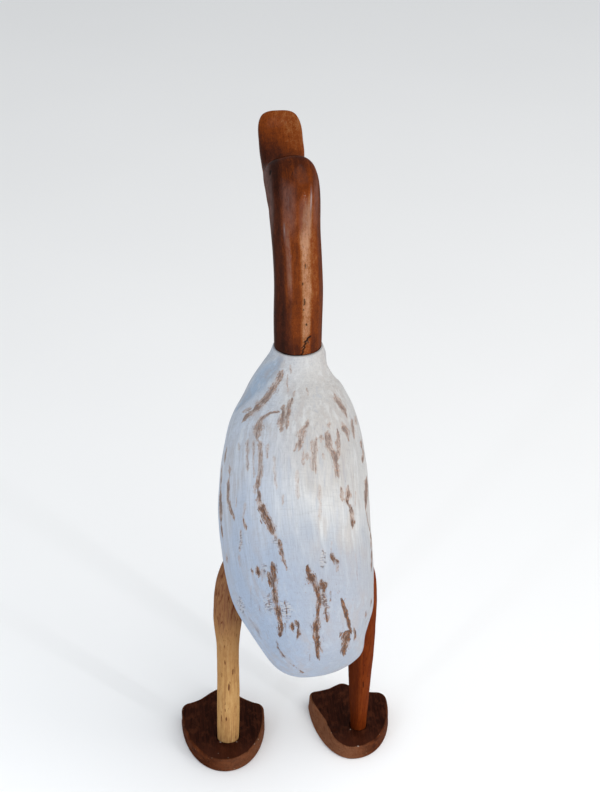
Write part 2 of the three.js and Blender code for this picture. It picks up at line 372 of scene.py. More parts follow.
def sweep(w, given, position):
    """Profile swept along the rail, skewed toward its start, with each point's place in the wood."""
    curve = w.node("GeometryNodeMeshToCurve", {"Mesh": given["Rail"]}).outputs["Curve"]
    kept = w.node("GeometryNodeCaptureAttribute", {"Geometry": curve})
    for item in ("centre", "ahead"):
        kept.capture_items.new("VECTOR", item)
    w.link(position, kept.inputs["centre"])
    w.link(w.node("GeometryNodeInputTangent").outputs[0], kept.inputs["ahead"])
    swept = w.node("GeometryNodeCurveToMesh", {
        "Curve": kept.outputs["Geometry"],
        "Profile Curve": crowded_circle(w, given),
        "Scale": w.named("half"),
        "Fill Caps": False,
    }).outputs[0]

    # Place of each point across, above and along the rail
    centre, ahead = kept.outputs["centre"], kept.outputs["ahead"]
    lean = w.vector("SCALE", ahead, w.vector("DOT_PRODUCT", ahead, TOWARD_LEFT))
    side = w.vector("NORMALIZE", w.vector("SUBTRACT", TOWARD_LEFT, lean))
    over = w.vector("CROSS_PRODUCT", side, ahead)
    out = w.vector("SUBTRACT", position, centre)
    across = w.vector("DOT_PRODUCT", out, side)
    above = w.vector("DOT_PRODUCT", out, over)
    lay = w.combined(X=across, Y=above, Z=w.named("run"))
    laid = w.store(swept, "lay", lay, "FLOAT_VECTOR")

    reach = w.math("DIVIDE", w.named("along"), given["Skew reach"])
    fade = w.math("EXPONENT", w.times(w.times(reach, reach), -1.0))
    slide = w.vector("SCALE", ahead, w.times(w.times(across, given["End skew"]), fade))
    skewed = w.node("GeometryNodeSetPosition", {"Geometry": laid, "Offset": slide}).outputs[0]
    return w.node("GeometryNodeMergeByDistance", {"Geometry": skewed, "Distance": SAME_POINT}).outputs[0]


def nearest_mark(w, marks, position, normal):
    """1 on the nearest mark, 0 its own width away and below 0 past that, with its values."""
    source = w.node("GeometryNodeObjectInfo", {"Object": marks}, transform_space="ORIGINAL")
    geometry = source.outputs["Geometry"]
    index = w.node("GeometryNodeSampleNearest", {"Geometry": geometry}).outputs["Index"]

    def read(value, kind):
        ins = {"Geometry": geometry, "Value": value, "Index": index}
        return w.node("GeometryNodeSampleIndex", ins, data_type=kind).outputs["Value"]

    found = {key: read(w.named(key), "FLOAT") for key in ("width", "strength", "extra", "pace")}
    off = w.vector("SUBTRACT", position, read(position, "FLOAT_VECTOR"))
    heading = read(w.named("heading", "FLOAT_VECTOR"), "FLOAT_VECTOR")
    flank = w.vector("DOT_PRODUCT", off, w.vector("CROSS_PRODUCT", heading, normal))
    gone = w.plus(found["pace"], w.vector("DOT_PRODUCT", off, heading))
    found["trace"] = w.combined(X=flank, Y=found["strength"], Z=gone)
    width = w.math("MAXIMUM", found["width"], LEAST_WIDTH)
    found["close"] = w.minus(1.0, w.math("DIVIDE", w.vector("LENGTH", off), width))
    return found


def knife_work(w, given):
    """Height of the lumps and long flats that the knife left, faded out where the rail ends."""
    place = w.vector("ADD", w.named("lay", "FLOAT_VECTOR"), w.vector("SCALE", SEED_MOVE, given["Seed"]))

    def uneven(where, size, depth):
        where = w.vector("SCALE", where, w.math("DIVIDE", 1.0, size))
        pattern = w.node("ShaderNodeTexNoise", {"Vector": where, "Scale": 1.0, "Detail": 1.0}).outputs["Fac"]
        return w.swing(pattern, depth)

    lumps = uneven(place, given["Lump size"], given["Lump depth"])
    flats = uneven(w.vector("MULTIPLY", place, FLAT_STRETCH), given["Flat width"], given["Flat depth"])
    return w.times(w.plus(lumps, flats), w.named("free"))


def swept_wood_tree():
    """Wood swept round a rail, left uneven by the knife, marked where it is worn and where painted shade goes
    in its hollows.
    """
    tree = bpy.data.node_groups.new("swept wood", "GeometryNodeTree")
    face = tree.interface
    face.new_socket("Rail", in_out="INPUT", socket_type="NodeSocketGeometry")
    for name, (kind, value) in SWEPT_WOOD_INPUTS.items():
        socket = face.new_socket(name, in_out="INPUT", socket_type=kind)
        if value is not None:
            socket.default_value = value
    face.new_socket("Wood", in_out="OUTPUT", socket_type="NodeSocketGeometry")
    w = Wiring(tree)
    given = w.node("NodeGroupInput").outputs
    position = w.node("GeometryNodeInputPosition").outputs[0]
    normal = w.node("GeometryNodeInputNormal").outputs[0]

    wood = sweep(w, given, position)
    streak = nearest_mark(w, given["Worn marks"], position, normal)
    hollow = nearest_mark(w, given["Hollows"], position, normal)
    close = w.math("MAXIMUM", streak["close"], 0.0)
    # Painted bluish shade in the hollows
    wash = w.times(w.level(hollow["close"], 0.0, CUT_SHADE_FULL), hollow["strength"])
    wood = w.store(wood, "trace", streak["trace"], "FLOAT_VECTOR")
    for name, value in (("worn", close), ("rungs", streak["extra"]), ("wash", wash)):
        wood = w.store(wood, name, value)

    cut = w.times(w.level(close, SINKS_FROM, SINKS_TO), w.times(streak["strength"], given["Wear depth"]))
    dip = w.times(w.level(hollow["close"], 0.0, 1.0), w.times(hollow["extra"], MM))
    rise = w.minus(knife_work(w, given), w.plus(cut, dip))
    carving = {"Geometry": wood, "Offset": w.vector("SCALE", normal, rise)}
    carved = w.node("GeometryNodeSetPosition", carving).outputs[0]
    soft = w.node("GeometryNodeSetShadeSmooth", {"Geometry": carved}).outputs[0]
    real = w.node("GeometryNodeRealizeInstances", {"Geometry": soft}).outputs[0]
    done = w.node("GeometryNodeSetMaterial", {"Geometry": real, "Material": given["Finish"]}).outputs[0]
    w.link(done, w.node("NodeGroupOutput").inputs["Wood"])
    return tree


def swept_wood(name, tree, points, rail, settings):
    """Plain mesh swept along points in millimetres, with the rail's values and the tree's inputs."""
    edges = [(i, i + 1) for i in range(len(points) - 1)]
    host = lines_of_points(name + " rail", points, edges, rail)
    modifier = host.modifiers.new("swept wood", "NODES")
    modifier.node_group = tree
    for item in tree.interface.items_tree:
        if item.in_out == "INPUT" and item.name in settings:
            modifier[item.identifier] = settings[item.name]
    mesh = plain_mesh(host)
    mesh.name = name
    bpy.data.objects.remove(host)
    for key in rail:
        if key in mesh.attributes:
            mesh.attributes.remove(mesh.attributes[key])
    return new_piece(name, turned_outward(mesh))


# Body

TAIL_END = np.array([-18.2, 85.9, 147.3])
TAIL_RISE = math.radians(38.5)
TAIL_LEAD = 82.0
TAIL_SWING = 30.4
NECK_SEAT = np.array([-9.5, -68.0, 339.3])
NECK_SEAT_LEAD = 59.0
TAIL_ROUNDING = 0.13
TAIL_SQUARENESS = 2.8
TAIL_SKEW = 0.205
TAIL_SKEW_REACH = 0.25
# The body's middle swings to the goose's left by these distances at these shares of its length
BEND_AT = [0, 0.09, 0.22, 0.5, 0.75, 0.86, 0.95, 1]
BEND = [0.2, 1.5, 0.6, 0.9, 0.6, 1.1, 0.1, 0]
BODY_SHARES = [0, 0.08, 0.2, 0.36, 0.54, 0.7, 0.83, 0.89, 0.95, 1]
BODY_HALVES = [40, 38.6, 51.8, 56.8, 56.5, 50, 36.7, 29.2, 22.8, 19.2]
BODY_SIDES = 380
BODY_RINGS = 246
BODY_CROWDING = 0.36
# Rings stand closer together toward the tail end by this power
TAIL_CROWDING = 1.5
# Rim that closes the body under the neck: height over the seat and radius
NECK_RIM = np.array([[0.10, 19.05], [0.18, 18.8], [0.24, 18.3], [0.26, 12.0], [0.27, 6.0], [0.28, 0.0]])
# The knife's unevenness fades out over this share of the body below the neck
SMOOTH_UNDER_NECK = 0.07
GAP = 0.3


def body_axis(share):
    """Centre and direction of the body at a share of the way from tail to neck."""
    t = np.asarray(share, float)[..., None]
    lead = np.array([TAIL_SWING, -TAIL_LEAD * math.cos(TAIL_RISE), TAIL_LEAD * math.sin(TAIL_RISE)])
    a, b, c, d = TAIL_END, TAIL_END + lead, NECK_SEAT - [0, 0, NECK_SEAT_LEAD], NECK_SEAT
    centre = (1 - t) ** 3 * a + 3 * (1 - t) ** 2 * t * b + 3 * (1 - t) * t**2 * c + t**3 * d
    centre = centre + between(BEND_AT, BEND, t) * np.array([1.0, 0, 0])
    ahead = 3 * (1 - t) ** 2 * (b - a) + 6 * (1 - t) * t * (c - b) + 3 * t**2 * (d - c)
    return centre, unit(ahead)


def body_half(share):
    near_tail = np.maximum(1 - np.asarray(share) / TAIL_ROUNDING, 0)
    return between(BODY_SHARES, BODY_HALVES, share) * np.sqrt(1 - near_tail**TAIL_SQUARENESS)


def on_body(share, round_from_left):
    """Point on the body: share of the way up it, and degrees round from its left over its back."""
    centre, ahead = body_axis(share)
    side = unit(np.array([1.0, 0, 0]) - ahead * ahead[..., :1])
    over = np.cross(side, ahead)
    turn = np.radians(round_from_left)
    half = body_half(share)
    across = np.cos(turn) * half
    skew = TAIL_SKEW * np.exp(-((np.asarray(share) / TAIL_SKEW_REACH) ** 2))
    return (centre + side * across[..., None] - over * (np.sin(turn) * half)[..., None]
            + ahead * (across * skew)[..., None])


def body_rail(grown=0.0):
    """Rail of the body, closed over under the neck with a small rounded edge, and its values."""
    s = np.linspace(0, 1, BODY_RINGS)
    share = s**TAIL_CROWDING * (1 - s) + s * s
    centre, _ = body_axis(share)
    half = body_half(share) + grown * (share > 0)
    top = NECK_SEAT + np.outer(NECK_RIM[:, 0], [0, 0, 1])
    points = np.vstack([centre, top])
    half = np.concatenate([half, NECK_RIM[:, 1] + grown * (NECK_RIM[:, 1] > 0)])
    share = np.concatenate([share, np.ones(len(NECK_RIM))])
    free = smoothstep(0, SMOOTH_UNDER_NECK, 1 - share)
    return points, {"half": half * MM, "along": share, "run": distance_gone(points) * MM, "free": free}


# Worn streaks where the photograph shows them: strength and share of cross scratches, then points
# across and down the photograph with the streak's width there, all in its pixels
SEEN_STREAKS = [
    # Long diagonal streak near the neck
    (0.95, 0, [(283, 369, 4), (281, 376, 5.5), (276, 384, 6.5), (272, 391, 6.5), (267, 397, 6.5),
            (262, 402, 8.5), (257, 406, 7.5), (252, 411, 6), (247, 415, 5), (242, 422, 3.5)]),
    (0.60, 0, [(252, 408, 3), (247, 410, 3), (242, 412, 2)]),
    # Hook and long streak down the left of the back
    (0.95, 0, [(281, 411.5, 2), (275, 412, 2.5), (270, 413, 3), (265, 416, 4.5), (261, 420, 6.5),
            (258, 427, 9), (257, 434, 9), (258, 441, 6)]),
    (0.75, 0, [(259, 440, 5), (260.5, 447, 5.5), (260.5, 455, 5), (260, 464, 5), (259, 474, 5),
            (258, 482, 5), (257, 490, 6)]),
    (0.45, 0, [(254, 484, 5), (255, 494, 5)]),
    (1.00, 0, [(258, 489, 5), (258, 498, 6.5), (261, 505, 7.5), (264, 511, 9), (266, 517, 9),
            (269, 524, 8.5), (272, 530, 8.5), (275, 536, 6)]),
    (0.40, 1, [(274, 533, 9), (276, 539, 9), (278, 547, 8)]),
    (1.00, 0.3, [(278, 538, 4), (281, 545, 4.5), (281, 552, 4), (284, 561, 3), (287, 571, 2)]),
    # Blot right of the hook
    (1.00, 0, [(293, 397, 4), (290, 404, 5), (288, 411, 5.5), (287.5, 418, 5.5), (287, 429, 4)]),
    (0.85, 0, [(283, 404, 5), (283, 411, 7), (282, 419, 7), (281, 426, 6), (280, 433, 3)]),
    (0.50, 0, [(285, 408, 6), (285, 416, 8), (285, 426, 6)]),
    # Small one right of it
    (0.80, 0, [(308, 419, 2.5), (306, 426, 4), (302, 430, 8), (301, 437, 9.5), (300, 444, 6),
            (300, 451, 2)]),
    (0.60, 0, [(297, 441, 4), (296, 447, 3), (294, 452, 2.5)]),
    # Group over the right side of the back
    (0.90, 0, [(334, 392, 3.5), (337, 399, 5), (341, 406, 5), (344, 411, 4.5), (347, 418, 3)]),
    (0.90, 0, [(341.5, 421, 5), (344, 427, 6.5), (347, 433, 6.5), (349, 440, 5)]),
    (0.50, 0, [(355.5, 416, 2), (355.5, 424, 2.5)]),
    (0.90, 0, [(353, 420, 4), (354, 428, 6), (356, 437, 5)]),
    (0.55, 0, [(329, 422, 3.5), (329, 428, 4)]),
    (0.90, 0, [(327.5, 431, 8), (327, 437, 12), (328, 443, 12), (331, 449, 9), (334, 454, 7), (336, 461, 6.5),
            (337, 470, 6), (338.5, 478, 4)]),
    (0.65, 0, [(320.5, 434, 4), (321, 442, 4)]),
    (0.75, 0, [(338, 429, 3), (338.5, 440, 3.5), (338.5, 450, 4), (339, 460, 3)]),
    (0.50, 0, [(312, 440, 4), (313, 455, 6), (312, 471, 4)]),
    (0.55, 0, [(316, 436, 3), (315, 448, 4), (315, 460, 4.5), (316, 474, 3)]),
    (0.45, 0, [(307, 451, 2.5), (308, 461, 2.5)]),
    (0.45, 0, [(324, 453, 3), (324, 460, 3)]),
    (0.35, 0, [(303, 450, 4), (304, 466, 4)]),
    # Right rim
    (0.90, 0, [(361.7, 440, 3), (362.7, 449, 3)]),
    (0.90, 0, [(363.2, 449, 2), (363.2, 463, 2)]),
    (1.00, 0, [(366.7, 476, 3), (367.2, 488, 3.5), (367.7, 500, 3.5), (367.7, 513, 2.5)]),
    (0.90, 0, [(368.7, 511, 2), (369.2, 522, 2.5), (369.7, 531, 2)]),
    (0.85, 0, [(370.7, 532, 2), (370.7, 549, 2)]),
    (0.90, 0, [(371.7, 549, 2), (371.7, 560, 2), (371.7, 571, 2)]),
    # Right middle
    (0.90, 0, [(348, 485, 4), (348, 494, 6), (347, 500, 6), (349, 507, 4)]),
    (0.80, 0, [(341, 486, 3), (342, 494, 3.5), (342, 502, 3.5)]),
    (1.00, 0, [(350, 504, 4), (351, 513, 5), (352.5, 521, 5), (353, 530, 3)]),
    (0.50, 0, [(355.5, 490, 1.5), (355, 506, 1.5)]),
    (0.50, 0, [(331, 540, 1.5), (331, 552, 2)]),
    (0.90, 0, [(331, 551, 3.5), (332, 558, 4.5), (334, 565, 4)]),
    (0.75, 0, [(335, 558, 8), (338, 562, 8)]),
    (0.80, 0, [(337, 562, 3.5), (337, 573, 2.5)]),
    # Lower middle pair
    (1.05, 0, [(307, 564, 3), (309, 571, 6), (312, 577, 8), (315, 584, 8), (317, 591, 6.5),
            (318.5, 598, 5), (318.5, 607, 4.5), (318, 615, 4.5), (317, 621, 5.5), (316, 628, 7.5),
            (316.5, 635, 7.5), (318, 642, 6), (317.5, 650, 4.5), (319, 660, 3)]),
    (0.80, 0, [(320, 641, 2.5), (321, 647, 2.5), (323, 654, 2)]),
    (1.10, 0, [(321, 579, 4), (322.5, 585, 7.5), (324, 592, 7)]),
    (0.75, 1, [(323, 590, 9), (325, 600, 11), (326, 611, 8)]),
    (0.90, 0, [(325, 609, 5), (327, 615, 6), (328, 622, 4)]),
    (0.35, 0, [(323, 634, 2.5), (324, 643, 2.5)]),
    (0.70, 0, [(330, 590, 2.5), (330, 603, 2)]),
    # Lower left
    (0.95, 0, [(268, 571, 3), (270, 579, 4.5), (271, 589, 3)]),
    (1.05, 0.2, [(273, 561, 4), (273, 570, 6), (273.5, 580, 6.5), (274, 590, 6), (276, 600, 6),
            (278, 609, 6), (279, 616, 6.5), (281, 624, 7), (281, 631, 6), (280, 637, 3)]),
    (0.50, 1, [(269, 594, 9), (269, 604, 10), (271, 615, 8)]),
    (0.45, 1, [(285, 600, 7), (286, 611, 9), (287, 623, 6)]),
    (0.60, 0, [(285, 621, 2), (286, 632, 2)]),
    (1.00, 0, [(291, 621, 3.5), (292, 627, 5), (293, 632, 3)]),
    (1.00, 0, [(296, 620, 4), (297, 629, 6.5), (297, 640, 4)]),
    # Lower right
    (1.15, 0, [(340, 597, 2.5), (344, 608, 3.5), (347, 618, 3.5), (350, 627, 3.5), (352, 634, 3)]),
    (1.35, 0, [(351, 628, 5), (349, 634, 9), (347, 640, 8), (345.5, 646, 5.5), (344.5, 652, 5),
            (344, 659, 3)]),
    (0.85, 0, [(354, 628, 2), (356, 636, 2.5), (354.5, 643, 2)]),
    (0.70, 0, [(365.5, 610, 2.5), (365, 621, 2.5)]),
    (0.80, 0, [(371, 598, 1.5), (370, 612, 1.5), (368, 626, 1.5)]),
    # Left edge
    (0.80, 0, [(226.5, 447, 2.5), (224, 463, 2.5)]),
    (0.85, 0, [(222, 466, 2.5), (221, 478, 2.5), (221, 490, 3)]),
    (1.10, 0, [(221, 487, 3), (220.5, 500, 4), (220.5, 512, 4), (221, 525, 3)]),
    (0.95, 0, [(221, 523, 3), (222.5, 538, 3)]),
    (0.60, 0, [(229, 464, 2.5), (229.5, 475, 2.5)]),
    (0.95, 0, [(229, 477, 2.5), (228, 488, 3), (227.5, 498, 3.5), (229, 506, 3), (232, 513, 2.5),
            (234, 521, 2)]),
    (0.50, 0, [(235.5, 497, 1.5), (235.5, 509, 1.5)]),
    (0.80, 0, [(243, 516, 2.5), (245, 523, 3), (247, 531, 2.5)]),
    (0.40, 0, [(245, 501, 2.5), (244, 512, 2.5), (243, 519, 2)]),
    (0.60, 0.6, [(241, 529, 2.5), (241, 540, 2.5), (240, 552, 2.5)]),
    (0.40, 0, [(239, 554, 2), (240, 567, 2)]),
    (0.70, 0, [(226.5, 554, 2.5), (227.5, 563, 2.5)]),
    (0.80, 0, [(251, 569, 4), (253, 575, 5)]),
    (0.80, 0, [(257, 565, 4), (258, 572, 6), (259, 578, 3)]),
    (0.50, 0, [(262, 569, 2.5), (262, 582, 2)]),
    # Tail end
    (0.75, 0, [(276, 639, 2.5), (278, 646, 3), (281, 652, 2.5), (284, 658, 2)]),
    (0.40, 0, [(284, 657, 1.6), (289, 662, 1.8), (296, 668, 1.6)]),
    (0.45, 0, [(310, 653, 2.5), (311, 662, 2.5)]),
    (0.30, 0, [(256, 629, 5), (260, 639, 5)]),
    (0.45, 0, [(260, 604, 2), (261, 615, 2)]),
    # Fine grey scratches low down
    (0.80, 0, [(275, 640.5, 1.6), (280.5, 650.5, 1.8), (288.8, 660, 2), (297, 667, 2),
            (305.5, 672, 1.6)]),
    (0.40, 0, [(246, 616, 1.8), (253, 627, 2.4), (259, 635, 1.8)]),
    (0.40, 1, [(239.5, 596, 4), (241, 606, 4.5), (243, 616, 4)]),
    (0.40, 1, [(322, 549, 4), (323, 560, 4.5), (322, 570, 3)]),
    (0.35, 0, [(355.5, 553, 1.4), (356.5, 568, 1.6), (357, 582, 1.2)]),
    (0.35, 0, [(252, 585, 1.2), (251, 600, 1.6), (252, 612, 1.2)]),
    (0.35, 0, [(266, 630, 1.2), (268, 640, 1.4)]),
    (0.35, 0, [(297, 628, 1.4), (296, 640, 1.6), (294, 650, 1.2)]),
    (0.30, 1, [(262, 563, 4), (264, 570, 5), (266, 578, 4)]),
    (0.35, 0, [(313, 655, 1.2), (311, 664, 1.4)]),
    # Faint ones
    (0.40, 0, [(248, 438, 3), (247, 455, 3.5), (248, 472, 3)]),
    (0.35, 0, [(254, 440, 2.5), (254, 477, 2.5)]),
    (0.35, 0, [(288, 374, 2.5), (288, 393, 2)]),
    (0.40, 0, [(290, 364, 2.5), (291, 375, 2)]),
    (0.30, 0, [(294, 390, 3), (294, 397, 3)]),
    (0.35, 0, [(307, 386, 2), (308, 396, 2)]),
    (0.40, 0, [(283, 494, 3), (283, 505, 2.5)]),
    (0.30, 0, [(238, 442, 3), (239, 451, 3)]),
    (0.35, 0, [(268, 443, 3.5), (267, 459, 3)]),
    (0.30, 0, [(297, 470, 4), (298, 500, 4)]),
    (0.22, 0, [(320, 484, 4), (320, 520, 4)]),
    (0.25, 0, [(275, 455, 3), (276, 490, 3)]),
]

# Worn streaks out of the photograph's sight, plainer: points as share of the way up the body, degrees
# round from its left over its back, and half width in mm
UNSEEN_STREAKS = [
    (0.80, 0, [(0.86, 215, 1.6), (0.80, 212, 1.6), (0.74, 214, 1.6)]),
    (0.90, 0, [(0.70, 262, 2.2), (0.64, 258, 2.2), (0.58, 260, 2.2)]),
    (0.75, 0, [(0.52, 224, 1.5), (0.46, 226, 1.5), (0.40, 222, 1.5)]),
    (0.85, 0, [(0.62, 318, 1.9), (0.55, 315, 1.9), (0.50, 319, 1.9)]),
    (0.70, 0, [(0.82, 300, 1.3), (0.76, 304, 1.3)]),
    (0.85, 0, [(0.36, 286, 2.0), (0.30, 282, 2.0), (0.24, 284, 2.0)]),
    (0.75, 0, [(0.28, 330, 1.4), (0.22, 334, 1.4)]),
    (0.80, 0, [(0.34, 196, 1.6), (0.28, 199, 1.6), (0.22, 196, 1.6)]),
    (0.75, 0, [(0.84, 348, 1.5), (0.78, 345, 1.5), (0.73, 347, 1.5)]),
    (0.80, 0, [(0.60, 184, 1.7), (0.54, 181, 1.7), (0.47, 183, 1.7)]),
]

# Broad shallow cuts of the knife: how much painted bluish shade, depth in mm, and points as above
HOLLOWS = [
    (1, 1.3, [(0.97, 44, 16.0), (0.92, 37, 16.0), (0.86, 28, 15.0), (0.80, 20, 15.0), (0.75, 10, 15.0)]),
    (0, 0.5, [(0.62, 33, 10.0), (0.52, 38, 10.0), (0.42, 42, 10.0)]),
    (0, 0.5, [(0.80, 112, 12.0), (0.70, 104, 12.0)]),
    (0, 0.4, [(0.30, 100, 9.0), (0.20, 82, 9.0)]),
    (0, 0.6, [(0.60, 200, 12.0), (0.48, 205, 12.0)]),
    (0, 0.6, [(0.55, 290, 12.0), (0.42, 296, 12.0)]),
    (0, 1.7, [(0.055, 22, 13.0), (0.02, 14, 13.0)]),
    (0, 2.4, [(0.23, 173, 18.0), (0.17, 172, 18.0), (0.12, 171, 18.0), (0.085, 168, 18.0), (0.05, 160, 18.0),
            (0.02, 150, 17.0), (0.005, 140, 17.0)]),
    (0, 1.4, [(0.74, 150, 13.0), (0.60, 152, 13.0), (0.46, 158, 13.0), (0.38, 172, 13.0)]),
    (0, 2.2, [(0.97, 160, 12.0), (0.93, 174, 12.0), (0.88, 196, 12.0), (0.83, 214, 12.0)]),
]

# The body as the photograph shows it: steps up it, and how far round it is looked at, in degrees
SEEN_STEPS = 500
SEEN_ROUND = np.arange(-10, 191, 0.5)
# Where the surface turns edge on, a pixel stands for no more millimetres than this
MOST_PER_PIXEL = 2.2


def streaks_on_body(marks):
    """Marks in the photograph's pixels, as shares of the way up the body, degrees and half widths."""
    share, turn = np.meshgrid(np.linspace(0, 1, SEEN_STEPS), SEEN_ROUND, indexing="ij")
    place = on_body(share, turn)
    across, down, sight = in_photograph(place)
    facing = (np.cross(np.gradient(place, axis=0), np.gradient(place, axis=1)) * sight).sum(-1)
    facing = facing * np.sign(facing[SEEN_STEPS // 2, len(SEEN_ROUND) // 2])
    step = np.linalg.norm(np.gradient(place, axis=1), axis=-1)
    pixels = np.hypot(np.gradient(across, axis=1), np.gradient(down, axis=1))
    scale = np.minimum(step / np.maximum(pixels, 1e-6), MOST_PER_PIXEL)

    def on_surface(x, y, width):
        off = np.where(facing > 0, np.hypot(across - x, down - y), np.inf)
        at = np.unravel_index(off.argmin(), off.shape)
        return share[at], turn[at], width / 2 * scale[at]

    return [(strength, extra, [on_surface(*point) for point in points]) for strength, extra, points in marks]


# Streaks are sanded harder toward the tail: share of the way up, and factor on their strength
SANDED_AT = [0.0, 0.28, 0.42, 0.7, 1.0]
SANDED = [1.05, 1.00, 0.85, 0.75, 0.78]
# Faint wear reaches this many times a streak's own half width, at the same shares
WEAR_SPREAD = [2.1, 2.1, 2.0, 2.1, 2.1]
# A mark's points are this many mm apart, and each mark's grain is this far from the last one's
MARK_STEP = 0.6
MARK_APART = 37.0
# How far a mark wanders, and in how many steps: in degrees round, in width and in strength
TURN_WANDER, TURN_STEPS = 0.35, 10
WIDTH_WANDER, WIDTH_STEPS = 0.14, 8
STRENGTH_WANDER, STRENGTH_STEPS = 0.2, 7
LEAST_AND_MOST_WIDTH = 0.7, 1.3
LEAST_AND_MOST_STRENGTH = 0.5, 1.2
# A mark tapers over this many of its half widths, at its very end down to the root of this share
END_TAPER = 1.6
END_SHARE = 0.08


def surface_marks(name, marks, on_surface, unsteady=0.0, seed=3, spread=(1, 1, 1, 1, 1)):
    """Lines on a surface, each point with its width, strength, extra value, direction and distance gone."""
    draw = np.random.default_rng(seed)
    kept = {key: [] for key in ("points", "width", "strength", "extra", "heading", "pace")}
    edges = []

    def wander(count, every):
        knots = draw.normal(size=int(count / every) + 4)
        at = np.linspace(0, len(knots) - 1.001, count)
        return unsteady * between(np.arange(len(knots)), knots, at)

    first = 0
    for number, (strength, extra, places) in enumerate(marks):
        share, turn, width = np.array(places, float).T
        at = np.arange(len(places))
        length = np.linalg.norm(np.diff(on_surface(share, turn), axis=0), axis=1).sum()
        count = max(int(length / MARK_STEP), 4)
        fine = np.linspace(0, at[-1], count)
        share, turn, width = between(at, share, fine), between(at, turn, fine), between(at, width, fine)
        turn = turn + TURN_WANDER * wander(count, TURN_STEPS)
        line = on_surface(share, turn)
        from_end = np.minimum(np.arange(count), np.arange(count)[::-1]) * MARK_STEP
        swell = np.sqrt(np.clip(from_end / (END_TAPER * width), END_SHARE, 1))
        edges += [(first + i, first + i + 1) for i in range(count - 1)]
        first += count
        width = width * between(SANDED_AT, spread, share)
        widening = np.clip(1 + WIDTH_WANDER * wander(count, WIDTH_STEPS), *LEAST_AND_MOST_WIDTH)
        strength = strength * between(SANDED_AT, SANDED, share)
        force = np.clip(1 + STRENGTH_WANDER * wander(count, STRENGTH_STEPS), *LEAST_AND_MOST_STRENGTH)
        kept["points"].append(line)
        kept["width"].append(width * MM * swell * widening)
        kept["strength"].append(strength * force)
        kept["extra"].append(extra * swell)
        kept["heading"].append(unit(np.gradient(line, axis=0)))
        kept["pace"].append((np.arange(count) * MARK_STEP + number * MARK_APART) * MM)
    kept = {key: np.concatenate(field) for key, field in kept.items()}
    return lines_of_points(name, kept.pop("points"), edges, kept)


# Neck and head

HEAD_SIDES = 200
HEAD_RINGS = 430
NECK_FOOT = NECK_SEAT[2] + GAP
NECK_RADIUS = 18.4
NECK_LEAN = 2.5
HEAD_SWAY = 5.4
# The neck bows a little: heights, and how far its middle lies to the goose's left there
BOW_AT = [339, 360, 388, 415, 445, 480, 500]
BOW = [0.35, 0.1, -0.5, 0.1, 1.1, 0.1, -0.3]
BILL_HEIGHT = 499.4
BILL_TIP_ROUNDING = 0.09
BILL_TIP_NARROWING = 0.58
TIP_EDGE = 0.016
TIP_SQUARENESS = 2.6
# Rings stand closer together toward the bill's tip by this much
HEAD_RINGS_CROWDING = 0.07
# Rings that close over the cut end of the neck with a rounded edge: share of the way and radius
NECK_END_AT = [0, 0, 0, 0.0006, 0.0014]
NECK_END_RADII = np.array([0.0, 12.0, 17.2, 17.8, 18.1])
FIRST_FULL_RING = 0.0024
HEAD_AT = [0, 0.2, 0.38, 0.5, 0.58, 0.65, 0.71, 0.78, 0.87, 1]
HEAD_BACK_REACH = [-18.4, -18.4, -18.6, -19.5, -14.5, -1, 13, 27, 50, 83.6]
HEAD_BACK_HEIGHT = [NECK_FOOT, 385, 430, 460, 480, 490.5, 488, 480, 483.5, BILL_HEIGHT]
HEAD_FRONT_REACH = [18.4, 18.4, 18.4, 21, 25.5, 31, 37.5, 45, 59.5, 84]
HEAD_FRONT_HEIGHT = [NECK_FOOT, 385, 427, 440, 446, 450.5, 454.5, 459, 467, 487]
HEAD_HALF = [18.4, 18.8, 18.6, 18.9, 18.7, 18.2, 16.7, 15.8, 16.8, 16.6]
HEAD_SQUARE = [2, 2, 2, 2.1, 2.2, 2.2, 2.3, 2.5, 2.8, 3.2]

# Long flats left by the knife: degrees round from the left side over the back, half width
NECK_FLATS = [(2, 13), (38, 15), (62, 9), (83, 10), (105, 11), (130, 13), (156, 13), (181, 13), (207, 13),
              (232, 13), (258, 13), (284, 13), (310, 13), (336, 13)]
FLAT_EDGE = 0.07
# A flat swings by this many degrees on its way up: a radian of the swing in this many mm, and this many
# radians from one flat to the next
FLAT_SWING = 2.5
FLAT_SWING_LENGTH = 31
FLAT_SWING_APART = 1.9
# The softened edge of a flat reaches this many mm in, and flats fade out over these shares of the way
FLAT_REACH = 3
FLATS_GO = 0.40, 0.56
# Side of the head on its left, planed flat: direction it faces and how far from the neck's axis
CHEEK_FACING = (0.968, 0.25)
CHEEK_OUT = 17.8
# It comes and goes over these shares of the way, and stops this far in front of the neck's axis
CHEEK_COMES, CHEEK_GOES = (0.36, 0.50), (0.62, 0.70)
CHEEK_FRONT = 30
# The bill's top is scooped out between its root and its tip
SCOOP = 0.22
SCOOP_FLATNESS = 2.4
SCOOP_COMES, SCOOP_GOES = (0.70, 0.80), (0.93, 0.995)
# The head sways to the goose's left with its reach in mm, past these shares of the way
SWAY_REACH = -5, 34
SWAY_COMES = 0.3, 0.6

# Lighter and darker bands on the neck, partly figure in the wood and partly painted highlight and shade:
# degrees round as above, half width, lowest and highest height, and change of tone
MIDDLE_TONE = 0.50
NECK_FIGURE_AND_SHADE = [
    (105, 12, 330, 440, 0.42), (112, 14, 430, 474, 0.14), (67, 7, 392, 452, 0.20),
    (34, 21, 330, 500, -0.32), (6, 18, 330, 500, -0.26), (76, 12, 330, 500, -0.02),
    (126, 12, 384, 470, 0.12), (126, 14, 330, 384, -0.02), (160, 15, 330, 500, -0.14),
    (80, 70, 462, 510, -0.14), (82, 60, 487, 510, -0.18), (108, 16, 468, 488, 0.04),
    (114, 11, 436, 466, 0.20), (56, 14, 330, 384, -0.16), (90, 50, 330, 352, -0.22),
    (230, 14, 330, 450, 0.18), (268, 12, 350, 460, -0.16), (310, 12, 330, 440, 0.12),
]
